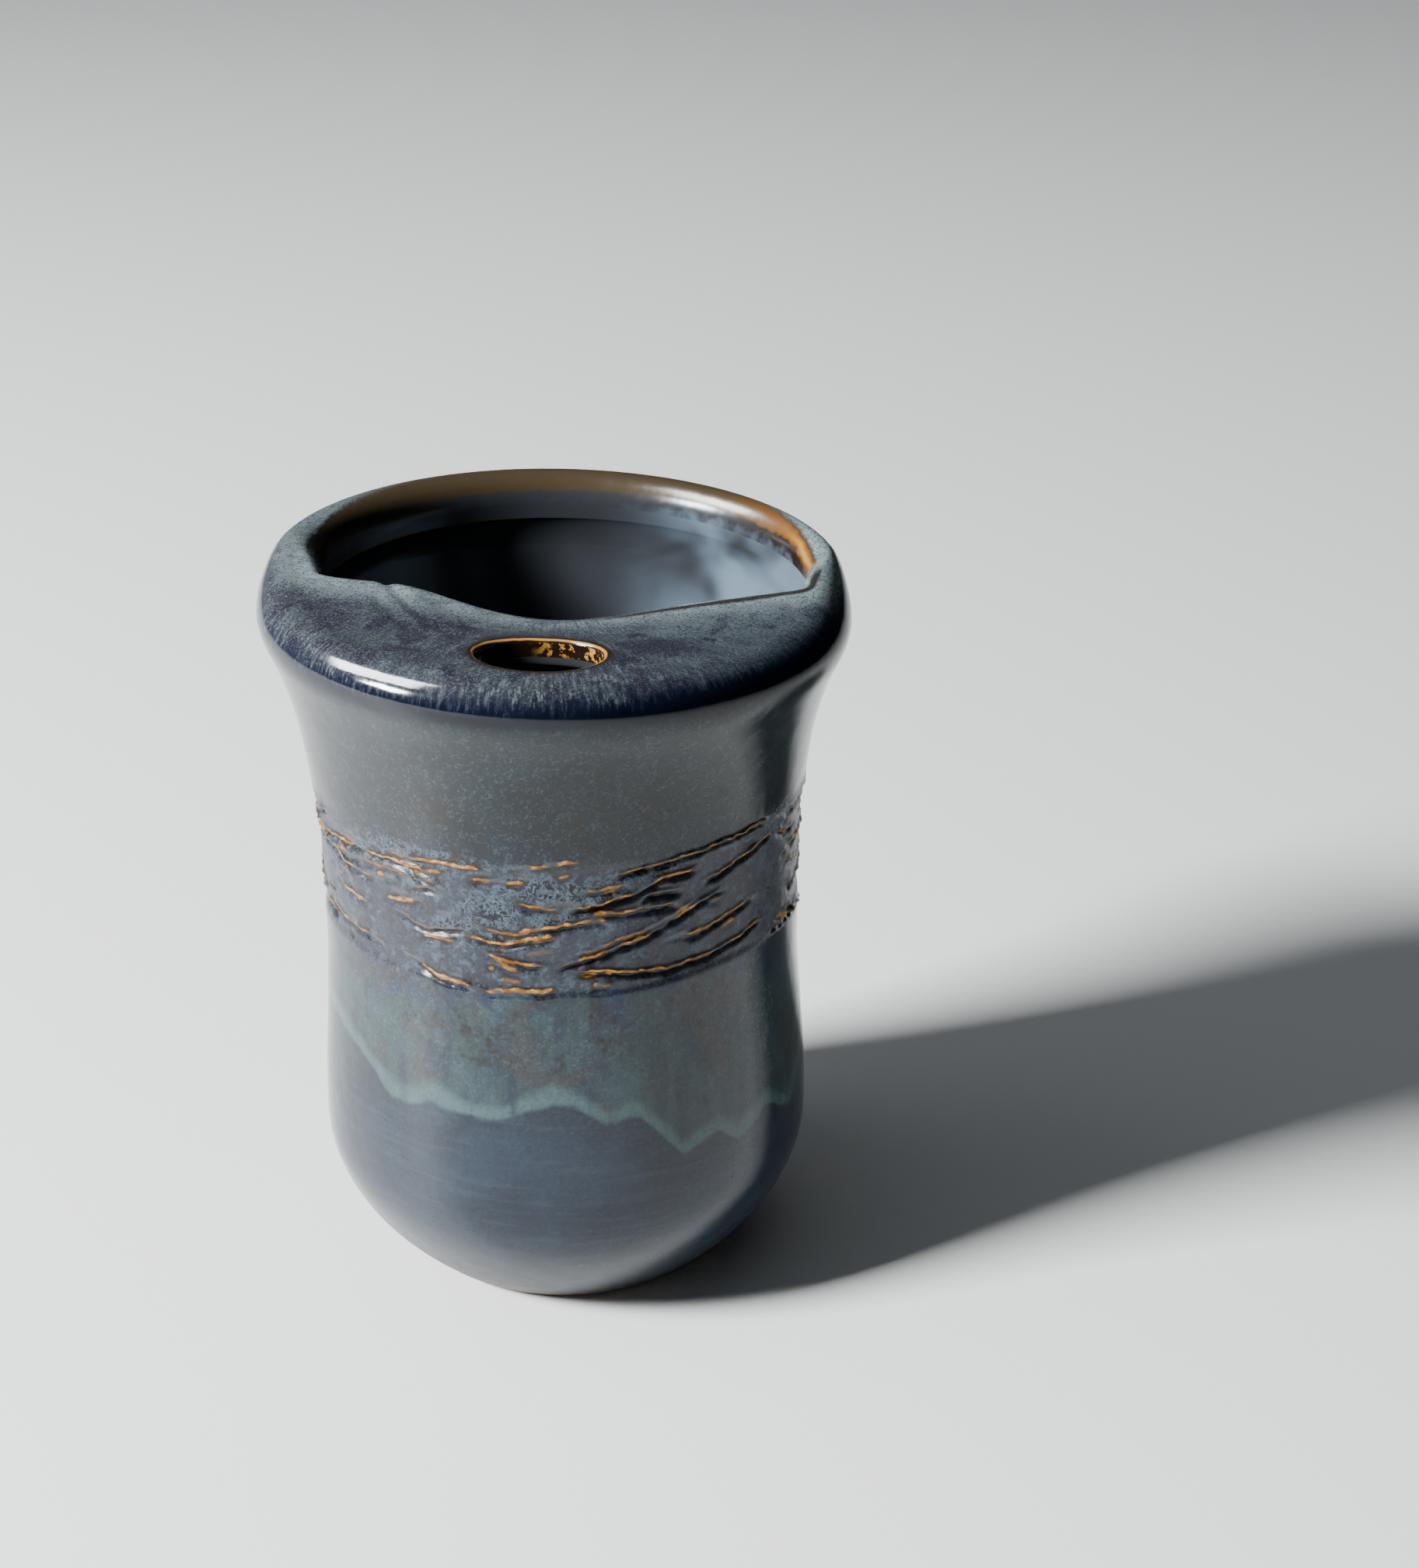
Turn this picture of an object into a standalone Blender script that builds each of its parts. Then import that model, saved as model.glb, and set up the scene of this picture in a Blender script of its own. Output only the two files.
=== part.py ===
"""A handleless espresso cup of glazed stoneware, thrown and fired in one piece.

The cup is a hollow tumbler with a rounded foot, a soft waist and a flared collar. At the front
the rim is folded in to a guard with an oval hole to drink through, and the mouth is what is left
open behind it. A band of torn, scored clay runs round the waist.

Metres, +Z up. The cup stands on its foot ring at z = 0, its axis is the Z axis, and its drinking
side faces -Y. Angles round the cup are counted from the front, positive towards +X.
"""

import math

import bmesh
import bpy
import numpy as np
from mathutils import Vector
from mathutils.geometry import interpolate_bezier

MM = 0.001

# Outside of the wall: radii from the foot up, and how far each stands above the one before it
FOOT_RADIUS = 17.3 * MM
BELLY_RADIUS = 27.8 * MM
WAIST_RADIUS = 26.6 * MM
COLLAR_RADIUS = 32.0 * MM
BELLY_RISE = 17.0 * MM
WAIST_RISE = 25.0 * MM
COLLAR_RISE = 35.2 * MM
LIP_RISE = 5.8 * MM
NECK_STRAIGHTNESS = 30.0 * MM
COLLAR_STRAIGHTNESS = 4.0 * MM

# Inside of the wall
WALL = 3.8 * MM
COLLAR_WALL = 4.6 * MM
FLOOR_THICKNESS = 5.0 * MM
FLOOR_RADIUS = 9.0 * MM
THROAT_DROP = 2.7 * MM

# Foot ring
FOOT_RING_WIDTH = 3.2 * MM
FOOT_RECESS = 1.2 * MM
FOOT_BEVEL = 0.9 * MM

# Lip of the mouth, all round the back
LIP_WIDTH = 5.5 * MM
LIP_CREST = 0.42
LIP_INNER_DROP = 3.4 * MM
MOUTH_OFFSET = 0.9 * MM
RIM_TILT = 1.0 * MM

# Guard folded in over the front of the mouth
GUARD_THICKNESS = 3.0 * MM
VAULT_ROUND = 6.0 * MM
GUARD_DROP = 2.5 * MM
GUARD_DROP_START = 6.0 * MM
GUARD_DROP_LENGTH = 22.0 * MM
SHOULDER_ROUND = 4.0 * MM
EDGE_MIDDLE_Y = -9.6 * MM
EDGE_CORNER_Y = -3.3 * MM
EDGE_BOW = 6.0 * MM
EDGE_SAG = 1.0 * MM
EDGE_SAG_HALF_WIDTH = 11.0 * MM
WING_X = -15.5 * MM
WING_Y = -8.5 * MM
WING_HALF_WIDTH = 6.0 * MM
WING_RISE = 0.8 * MM
CORNER_ROUND = 0.9 * MM
CORNER_ROUND_ANGLE = math.radians(9)

# Drinking hole
HOLE_X = -0.55 * MM
HOLE_Y = -21.5 * MM
HOLE_LENGTH = 12.9 * MM
HOLE_WIDTH = 9.0 * MM
HOLE_RIM_ROUND = 0.8 * MM

# Carved band round the waist, and its scored strokes: SCORE_FROM, _TO, _LENGTH and _GAP in degrees
# round the cup, the rest in millimetres
BAND_BOTTOM = 43.6 * MM
BAND_HEIGHT = 15.2 * MM
BAND_RECESS = 0.25 * MM
BAND_EDGE = 1.2 * MM
GOUGE_HALF_WIDTH = 0.85 * MM
GOUGE_LIP = 0.45
SCORE_ROWS = 7
SCORE_SEED = 11
SCORE_FROM = 62
SCORE_TO = 290
SCORE_LENGTH = (16, 42)
SCORE_GAP = (2, 9)
SCORE_DEPTH = (0.35, 0.8)
SCORE_RISE = (-1.2, 1.6)
SCORE_SAG = (-0.3, 0.7)
SCORE_SHIFT = 0.8

# Main gouges on the front: angle and height of the left end and the right end, how far the
# middle sags below the line between them, and the depth; degrees and millimetres
FRONT_GOUGES = (
    (-76, 55.0, -33, 56.6, -0.4, 0.9),
    (-37, 57.7, -14, 58.0, -0.2, 0.4),
    (-40, 51.8, -20, 50.6, 0.8, 0.5),
    (-36, 46.0, -18, 43.9, 0.3, 0.5),
    (-19, 49.6, 1, 50.3, 0.8, 0.7),
    (-15, 47.8, -2, 46.6, 0.2, 0.7),
    (-8, 53.8, 22, 54.3, 0.4, 0.6),
    (16, 57.1, 54, 58.5, -0.3, 0.9),
    (6, 53.2, 33, 55.2, 0.4, 1.0),
    (17, 52.2, 31, 53.0, 0.2, 0.8),
    (2, 46.7, 47, 53.0, 1.0, 0.9),
    (4, 45.5, 58, 46.8, 1.0, 0.9),
    (34, 54.6, 62, 57.0, 0.4, 0.7),
    (-15, 43.6, 8, 43.8, 0.1, 0.4),
)

# Fineness of the mesh
COLUMNS = 84
CURVE_STEPS = 24
BAND_ROWS = 16
LOWER_ROWS = 5
BELLY_ROWS = 3
NECK_ROWS = 5
ROUND_ROWS = 3
ROUND_TURN = math.radians(63)
GUARD_ROWS = 4
EDGE_ROWS = 2
VAULT_ROWS = 4
INSIDE_ROWS = 4

BELLY_HEIGHT = BELLY_RISE
WAIST_HEIGHT = BELLY_HEIGHT + WAIST_RISE
COLLAR_HEIGHT = WAIST_HEIGHT + COLLAR_RISE
LIP_HEIGHT = COLLAR_HEIGHT + LIP_RISE
BAND_TOP = BAND_BOTTOM + BAND_HEIGHT
MOUTH_RADIUS = COLLAR_RADIUS - LIP_WIDTH
THROAT_RADIUS = COLLAR_RADIUS - COLLAR_WALL
THROAT_HEIGHT = COLLAR_HEIGHT - THROAT_DROP

GLAZE_COLOUR = (0.13, 0.155, 0.19, 1.0)
GLAZE_ROUGHNESS = 0.2


def ease(t):
    """Goes smoothly from 0 to 1 as t does."""
    t = np.clip(t, 0.0, 1.0)
    return t * t * (3.0 - 2.0 * t)


def bezier(start, start_handle, end_handle, end):
    """Points along one cubic curve in the plane of radius and height."""
    points = [Vector((r, z, 0.0)) for r, z in (start, start_handle, end_handle, end)]
    return np.array([p[:2] for p in interpolate_bezier(*points, CURVE_STEPS)])


def outside_profile():
    """Radius and height of the outside, from the foot to the widest ring of the collar."""
    third = BELLY_RISE / 3
    foot = bezier(
        (FOOT_RADIUS, 0.0),
        (FOOT_RADIUS + (BELLY_RADIUS - FOOT_RADIUS) * 2 / 3, third),
        (BELLY_RADIUS, 2 * third),
        (BELLY_RADIUS, BELLY_HEIGHT),
    )
    body = bezier(
        (BELLY_RADIUS, BELLY_HEIGHT),
        (BELLY_RADIUS, BELLY_HEIGHT + 0.4 * WAIST_RISE),
        (WAIST_RADIUS, WAIST_HEIGHT - 0.4 * WAIST_RISE),
        (WAIST_RADIUS, WAIST_HEIGHT),
    )
    neck = bezier(
        (WAIST_RADIUS, WAIST_HEIGHT),
        (WAIST_RADIUS, WAIST_HEIGHT + NECK_STRAIGHTNESS),
        (COLLAR_RADIUS, COLLAR_HEIGHT - COLLAR_STRAIGHTNESS),
        (COLLAR_RADIUS, COLLAR_HEIGHT),
    )
    return np.vstack([foot, body[1:], neck[1:]])


def inside_profile():
    """Radius and height of the inside, from the throat under the lip down to the flat floor."""
    neck = bezier(
        (THROAT_RADIUS, THROAT_HEIGHT),
        (THROAT_RADIUS, THROAT_HEIGHT - COLLAR_STRAIGHTNESS),
        (WAIST_RADIUS - WALL, WAIST_HEIGHT + NECK_STRAIGHTNESS / 2),
        (WAIST_RADIUS - WALL, WAIST_HEIGHT),
    )
    belly = bezier(
        (WAIST_RADIUS - WALL, WAIST_HEIGHT),
        (WAIST_RADIUS - WALL, WAIST_HEIGHT - 0.4 * WAIST_RISE),
        (BELLY_RADIUS - WALL, BELLY_HEIGHT + 0.4 * WAIST_RISE),
        (BELLY_RADIUS - WALL, BELLY_HEIGHT),
    )
    floor = bezier(
        (BELLY_RADIUS - WALL, BELLY_HEIGHT),
        (BELLY_RADIUS - WALL, FLOOR_THICKNESS + 0.4 * (BELLY_HEIGHT - FLOOR_THICKNESS)),
        (FLOOR_RADIUS + 0.5 * (BELLY_RADIUS - WALL - FLOOR_RADIUS), FLOOR_THICKNESS),
        (FLOOR_RADIUS, FLOOR_THICKNESS),
    )
    return neck, np.vstack([belly[1:], floor[1:]])


def turn(angle):
    """The plan direction of each angle round the cup, counted from the front."""
    return np.stack([np.sin(angle), -np.cos(angle)], axis=-1)


def rim_level(x, z):
    """How far the handmade rim stands above or below its true level: it falls towards +X."""
    return -RIM_TILT * x / COLLAR_RADIUS * ease((z - BAND_TOP) / (COLLAR_HEIGHT - BAND_TOP))


def mouth_outline(angle):
    """The plan edge of the open mouth: round at the back, cut across by the guard in front."""
    back = MOUTH_RADIUS * turn(angle)
    across = back[:, 0]
    reach = np.hypot(across, EDGE_BOW) - EDGE_BOW
    reach = reach / (math.hypot(MOUTH_RADIUS, EDGE_BOW) - EDGE_BOW)
    edge = EDGE_MIDDLE_Y + (EDGE_CORNER_Y - EDGE_MIDDLE_Y) * reach
    gap = back[:, 1] - edge
    along = 0.5 * (back[:, 1] + edge + np.sqrt(gap**2 + CORNER_ROUND**2))
    corner = math.acos(-EDGE_CORNER_Y / MOUTH_RADIUS)
    near_corner = np.exp(-(((np.abs(angle) - corner) / CORNER_ROUND_ANGLE) ** 2))
    across = across - np.sign(across) * CORNER_ROUND * near_corner
    return np.stack([across + MOUTH_OFFSET, along], axis=-1)


def top_level(plan):
    """Height of the top of the lip and the guard, before their edges are rounded."""
    x, y = plan[..., 0], plan[..., 1]
    drop = GUARD_DROP * ease((GUARD_DROP_START - y) / GUARD_DROP_LENGTH)
    near_edge = ease((y - HOLE_Y) / (EDGE_MIDDLE_Y - HOLE_Y)) * (y < 0)
    sag = EDGE_SAG * near_edge * np.exp(-((x / EDGE_SAG_HALF_WIDTH) ** 2))
    off_wing = np.hypot(x - WING_X, y - WING_Y) / WING_HALF_WIDTH
    return LIP_HEIGHT - drop - sag + WING_RISE * np.exp(-(off_wing**2))


def guard_share(mouth):
    """0 at the lip of the round back, 1 along the free edge of the guard."""
    return ease(-(mouth[:, 1] - GUARD_DROP_START) / (GUARD_DROP_START - EDGE_CORNER_Y))


def ring(plan, level):
    """One closed loop of points, tilted with the rim."""
    level = np.broadcast_to(level, plan.shape[:1])
    return np.column_stack([plan, level + rim_level(plan[:, 0], level)])


def rim_frame(angle):
    """For each angle: the collar's widest point, the way in to the mouth's edge, how far that is,
    the guard's share, and how wide the rounding is on the outer and the inner side."""
    direction, mouth = turn(angle), mouth_outline(angle)
    guard = guard_share(mouth)
    collar = COLLAR_RADIUS * direction
    inward = mouth - collar
    width = np.linalg.norm(inward, axis=1)
    lip = LIP_WIDTH - MOUTH_OFFSET * direction[:, 0]
    outer = LIP_CREST * lip * (1 - guard) + SHOULDER_ROUND * guard
    inner = (1 - LIP_CREST) * lip * (1 - guard) + GUARD_THICKNESS / 2 * guard
    return collar, inward / width[:, None], width, guard, outer, inner


def rim_rings(angle):
    """Rings from the widest ring of the collar over the lip and guard to the edge of the mouth."""
    collar, inward, width, guard, outer, inner = rim_frame(angle)
    inner_drop = LIP_INNER_DROP * (1 - guard) + GUARD_THICKNESS / 2 * guard
    turned = 1 - math.cos(ROUND_TURN)
    steps = [outer * (1 - math.cos(ROUND_TURN * n / ROUND_ROWS)) for n in range(1, ROUND_ROWS + 1)]
    flat = width - (outer + inner) * turned
    steps += [outer * turned + flat * n / GUARD_ROWS for n in range(1, GUARD_ROWS + 1)]
    for n in range(ROUND_ROWS - 1, -1, -1):
        steps.append(width - inner * (1 - math.cos(ROUND_TURN * n / ROUND_ROWS)))
    rings = []
    for step in steps:
        plan = collar + inward * step[:, None]
        shoulder = np.clip(1 - step / outer, 0, 1)
        edge = np.clip(1 - (width - step) / inner, 0, 1)
        top = top_level(plan)
        level = COLLAR_HEIGHT + (top - COLLAR_HEIGHT) * np.sqrt(1 - shoulder**2)
        rings.append(ring(plan, level - inner_drop * (1 - np.sqrt(1 - edge**2))))
    return rings


def vault_rings(angle):
    """Rings from the edge of the mouth under the guard, out to the throat of the inside wall."""
    collar, inward, width, guard = rim_frame(angle)[:4]
    half = GUARD_THICKNESS / 2
    mouth = collar + inward * width[:, None]
    under = mouth - inward * (half * guard)[:, None]
    lowest = top_level(under) - half - LIP_INNER_DROP * (1 - guard) - half * guard
    throat = THROAT_RADIUS * turn(angle)
    rings = []
    for n in range(1, EDGE_ROWS + 1):
        bend = math.pi / 2 * n / EDGE_ROWS
        plan = mouth - inward * (half * guard * (1 - math.cos(bend)))[:, None]
        rings.append(ring(plan, lowest + half * (1 - math.sin(bend))))
    for n in range(1, VAULT_ROWS + 1):
        share = math.sin(math.pi / 2 * n / VAULT_ROWS) ** 0.7
        plan = under + (throat - under) * share
        out = np.clip((np.hypot(*plan.T) - THROAT_RADIUS) / VAULT_ROUND + 1, 0, 1)
        arch = 1 - np.sqrt(1 - out**2)
        flat = top_level(plan) - GUARD_THICKNESS
        front = flat + (THROAT_HEIGHT - flat) * arch
        back = lowest + (THROAT_HEIGHT - lowest) * n / VAULT_ROWS
        rings.append(ring(plan, back + (front - back) * guard))
    return rings


def gouge(angle, height, stroke):
    """Relief of one torn stroke: a groove with a lip of clay pushed up along its upper side."""
    left, left_height, right, right_height, sag, depth = stroke
    along = (np.degrees(angle) - left) / (right - left)
    line = left_height + (right_height - left_height) * along - 4 * sag * along * (1 - along)
    across = (height / MM - line) / (GOUGE_HALF_WIDTH / MM)
    fade = ease(along * 5) * ease((1 - along) * 5)
    lip = GOUGE_LIP * np.exp(-((across - 1.7) ** 2))
    return depth * MM * fade * (lip - np.exp(-(across**2)))


def score_marks():
    """Shorter strokes for the sides and back, in rows round the band, the same on each run."""
    dice = np.random.default_rng(SCORE_SEED)
    strokes = []
    for row in range(SCORE_ROWS):
        level = (BAND_BOTTOM + BAND_HEIGHT * (row + 0.5) / SCORE_ROWS) / MM
        left = SCORE_FROM + dice.uniform(0, SCORE_LENGTH[0])
        while left < SCORE_TO - SCORE_GAP[0]:
            right = min(left + dice.uniform(*SCORE_LENGTH), SCORE_TO)
            start = level + dice.uniform(-SCORE_SHIFT, SCORE_SHIFT)
            end = start + dice.uniform(*SCORE_RISE)
            sag, depth = dice.uniform(*SCORE_SAG), dice.uniform(*SCORE_DEPTH)
            strokes.append((left, start, right, end, sag, depth))
            left = right + dice.uniform(*SCORE_GAP)
    return strokes


def carving(angle, height):
    """How far the wall stands out or is cut in by the band, at each angle and height."""
    wave = 0.5 * np.sin(3 * angle + 0.6) + 0.3 * np.sin(7 * angle)
    low = ease((height - BAND_BOTTOM) / BAND_EDGE + 0.5 * wave)
    high = ease((BAND_TOP - height) / BAND_EDGE + 0.5 * wave)
    relief = -BAND_RECESS * low * high
    for stroke in FRONT_GOUGES:
        relief = relief + gouge(angle, height, stroke)
    around = np.where(angle < math.radians(SCORE_FROM), angle + 2 * math.pi, angle)
    for stroke in score_marks():
        relief = relief + gouge(around, height, stroke)
    return relief


def wall_rings(angle):
    """Rings of the outside wall, from the foot up to the widest ring of the collar."""
    profile = outside_profile()
    levels = np.concatenate([
        BELLY_HEIGHT * np.linspace(0, 1, LOWER_ROWS + 1)[:-1] ** 1.4,
        np.linspace(BELLY_HEIGHT, BAND_BOTTOM - BAND_EDGE, BELLY_ROWS + 1)[:-1],
        np.linspace(BAND_BOTTOM - BAND_EDGE, BAND_TOP + BAND_EDGE, BAND_ROWS + 1)[:-1],
        np.linspace(BAND_TOP + BAND_EDGE, COLLAR_HEIGHT, NECK_ROWS + 1),
    ])
    rings = []
    for level in levels:
        radius = np.interp(level, profile[:, 1], profile[:, 0])
        out = radius + carving(angle, np.full(COLUMNS, level))
        rings.append(ring(out[:, None] * turn(angle), level))
    return rings


def foot_rings(angle):
    """Rings of the underside, from the recess out over the foot ring."""
    inner = FOOT_RADIUS - FOOT_RING_WIDTH
    steps = ((inner - FOOT_BEVEL, FOOT_RECESS), (inner, 0.0))
    return [ring(radius * turn(angle), level) for radius, level in steps]


def inside_rings(angle):
    """Rings of the inside wall, from below the throat down to the edge of the flat floor."""
    neck, bowl = inside_profile()
    steps = (neck[1:], bowl)
    rings = []
    for curve in steps:
        length = np.concatenate([[0], np.cumsum(np.linalg.norm(np.diff(curve, axis=0), axis=1))])
        for share in np.linspace(0, 1, INSIDE_ROWS + 1)[1:]:
            radius = np.interp(share * length[-1], length, curve[:, 0])
            level = np.interp(share * length[-1], length, curve[:, 1])
            rings.append(ring(radius * turn(angle), level))
    return rings


def glaze():
    """The blue-grey glaze as one plain finish."""
    material = bpy.data.materials.new("glazed_stoneware")
    material.use_nodes = True
    shader = material.node_tree.nodes["Principled BSDF"]
    shader.inputs["Base Color"].default_value = GLAZE_COLOUR
    shader.inputs["Roughness"].default_value = GLAZE_ROUGHNESS
    shader.inputs["Metallic"].default_value = 0.0
    material.diffuse_color = GLAZE_COLOUR
    return material


def body_from_rings(name, rings):
    """One closed body: a face between each two neighbours of each two rings, and a flat cap."""
    form = bmesh.new()
    loops = [[form.verts.new(point) for point in points] for points in rings]
    for lower, upper in zip(loops, loops[1:]):
        for near in range(len(lower)):
            far = (near + 1) % len(lower)
            form.faces.new((lower[near], lower[far], upper[far], upper[near]))
    form.faces.new(list(reversed(loops[0])))
    form.faces.new(loops[-1])
    bmesh.ops.triangulate(form, faces=form.faces, quad_method="SHORT_EDGE", ngon_method="BEAUTY")
    mesh = bpy.data.meshes.new(name)
    form.to_mesh(mesh)
    form.free()
    item = bpy.data.objects.new(name, mesh)
    bpy.context.collection.objects.link(item)
    return item


def hole_cutter():
    """The plug that cuts the drinking hole: an upright oval that flares where it leaves the top."""
    angle = np.linspace(0, 2 * math.pi, COLUMNS // 2, endpoint=False)
    centre = np.array([HOLE_X, HOLE_Y])
    below = THROAT_HEIGHT - THROAT_DROP
    above = LIP_HEIGHT + LIP_RISE
    steps = [(0.0, None, below), (0.0, -1.6 * HOLE_RIM_ROUND, None)]
    steps += [(HOLE_RIM_ROUND * 0.35, -HOLE_RIM_ROUND * 0.5, None)]
    steps += [(HOLE_RIM_ROUND * 1.5, HOLE_RIM_ROUND * 0.6, None)]
    steps += [(HOLE_RIM_ROUND * 1.5, None, above)]
    rings = []
    for grow, depth, level in steps:
        half = np.array([HOLE_LENGTH / 2 + grow, HOLE_WIDTH / 2 + grow])
        plan = centre + half * turn(angle)
        if level is None:
            rings.append(ring(plan, top_level(plan) + depth))
        else:
            rings.append(np.column_stack([plan, np.full(len(plan), level)]))
    cutter = body_from_rings("drinking_hole_cutter", rings)
    cutter.hide_render = True
    cutter.display_type = "WIRE"
    return cutter


def make_cup():
    """The whole cup, with its drinking hole cut through the guard."""
    angle = np.linspace(-math.pi, math.pi, COLUMNS, endpoint=False)
    rings = foot_rings(angle) + wall_rings(angle) + rim_rings(angle)
    rings += vault_rings(angle) + inside_rings(angle)
    cup = body_from_rings("cup", rings)
    cup.data.materials.append(glaze())
    cup.data.shade_smooth()
    cup.data.set_sharp_from_angle(angle=math.radians(50))
    cut = cup.modifiers.new("drinking_hole", "BOOLEAN")
    cut.operation = "DIFFERENCE"
    cut.object = hole_cutter()
    cut.solver = "EXACT"
    return cup


for old in list(bpy.data.objects):
    bpy.data.objects.remove(old)
make_cup()
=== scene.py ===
"""Glazed stoneware espresso cup on a pale table, in soft daylight from the left.

The cup is rebuilt finely from its own measures: the same profile, guard, mouth and drinking hole as
the solid it stands for, with the torn strokes of the waist band, the folds of the guard and the
throwing rings as real relief. Metres, +Z up, drinking side towards -Y. Angles round the cup are
counted from the front, positive towards +X.
"""

import math

import bpy
import numpy as np
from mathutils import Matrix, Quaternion, Vector
from mathutils.geometry import interpolate_bezier


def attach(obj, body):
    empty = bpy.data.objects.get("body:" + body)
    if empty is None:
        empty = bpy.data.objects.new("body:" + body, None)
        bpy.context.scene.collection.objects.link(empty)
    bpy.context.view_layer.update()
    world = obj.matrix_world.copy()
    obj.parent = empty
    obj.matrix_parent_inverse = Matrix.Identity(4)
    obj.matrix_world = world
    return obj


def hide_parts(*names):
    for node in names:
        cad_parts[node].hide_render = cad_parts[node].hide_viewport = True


MM = 0.001

# Outside of the wall
FOOT_RADIUS = 17.3 * MM
BELLY_RADIUS = 27.8 * MM
WAIST_RADIUS = 26.6 * MM
COLLAR_RADIUS = 32.0 * MM
BELLY_HEIGHT = 17.0 * MM
WAIST_RISE = 25.0 * MM
COLLAR_RISE = 35.2 * MM
LIP_RISE = 5.8 * MM
BODY_STRAIGHTNESS = 0.4 * WAIST_RISE
NECK_STRAIGHTNESS = 30.0 * MM
COLLAR_STRAIGHTNESS = 4.0 * MM
WAIST_HEIGHT = BELLY_HEIGHT + WAIST_RISE
COLLAR_HEIGHT = WAIST_HEIGHT + COLLAR_RISE
LIP_HEIGHT = COLLAR_HEIGHT + LIP_RISE

# Inside of the wall
WALL = 3.8 * MM
COLLAR_WALL = 4.6 * MM
FLOOR_THICKNESS = 5.0 * MM
FLOOR_RADIUS = 9.0 * MM
THROAT_DROP = 2.7 * MM
THROAT_RADIUS = COLLAR_RADIUS - COLLAR_WALL
THROAT_HEIGHT = COLLAR_HEIGHT - THROAT_DROP

# Foot ring
FOOT_RING_WIDTH = 3.2 * MM
FOOT_RECESS = 1.2 * MM
FOOT_BEVEL = 0.9 * MM
FOOT_EDGE = 0.35 * MM

# Lip of the mouth
LIP_WIDTH = 5.5 * MM
LIP_CREST = 0.42
LIP_INNER_DROP = 3.4 * MM
MOUTH_OFFSET = 0.9 * MM
MOUTH_RADIUS = COLLAR_RADIUS - LIP_WIDTH
RIM_TILT = 1.0 * MM

# Guard folded in over the front of the mouth
GUARD_THICKNESS = 3.0 * MM
VAULT_ROUND = 6.0 * MM
GUARD_DROP = 2.5 * MM
GUARD_DROP_START = 6.0 * MM
GUARD_DROP_LENGTH = 22.0 * MM
SHOULDER_ROUND = 4.0 * MM
EDGE_MIDDLE_Y = -9.6 * MM
EDGE_CORNER_Y = -3.3 * MM
EDGE_BOW = 6.0 * MM
EDGE_SAG = 1.0 * MM
EDGE_SAG_HALF_WIDTH = 11.0 * MM
WING_X = -15.5 * MM
WING_Y = -8.5 * MM
WING_HALF_WIDTH = 6.0 * MM
WING_RISE = 0.8 * MM
CORNER_ROUND = 0.9 * MM
CORNER_ROUND_ANGLE = math.radians(9)

# Drinking hole
HOLE_X = -0.55 * MM
HOLE_Y = -21.5 * MM
HOLE_LENGTH = 12.9 * MM
HOLE_WIDTH = 9.0 * MM
HOLE_RIM_ROUND = 0.6 * MM
HOLE_UNDER_ROUND = 0.5 * MM

# Scored band round the waist
BAND_BOTTOM = 43.6 * MM
BAND_HEIGHT = 15.2 * MM
BAND_RECESS = 0.25 * MM
BAND_EDGE = 1.2 * MM
BAND_TOP = BAND_BOTTOM + BAND_HEIGHT

# Torn strokes of the band: how fast the ledge above a tear runs out, how sharp its step is, where
# the bead of clay along it and the groove below it lie, and how far the tear wobbles; millimetres
LEDGE_RUN = 1.1
TEAR_SHARPNESS = 0.07
BEAD_UP = 0.2
BEAD_HALF = 0.22
GROOVE_DOWN = 0.38
GROOVE_HALF = 0.34
LIP_UP = 0.12
LIP_HALF = 0.36
WOBBLE = 0.16

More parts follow.
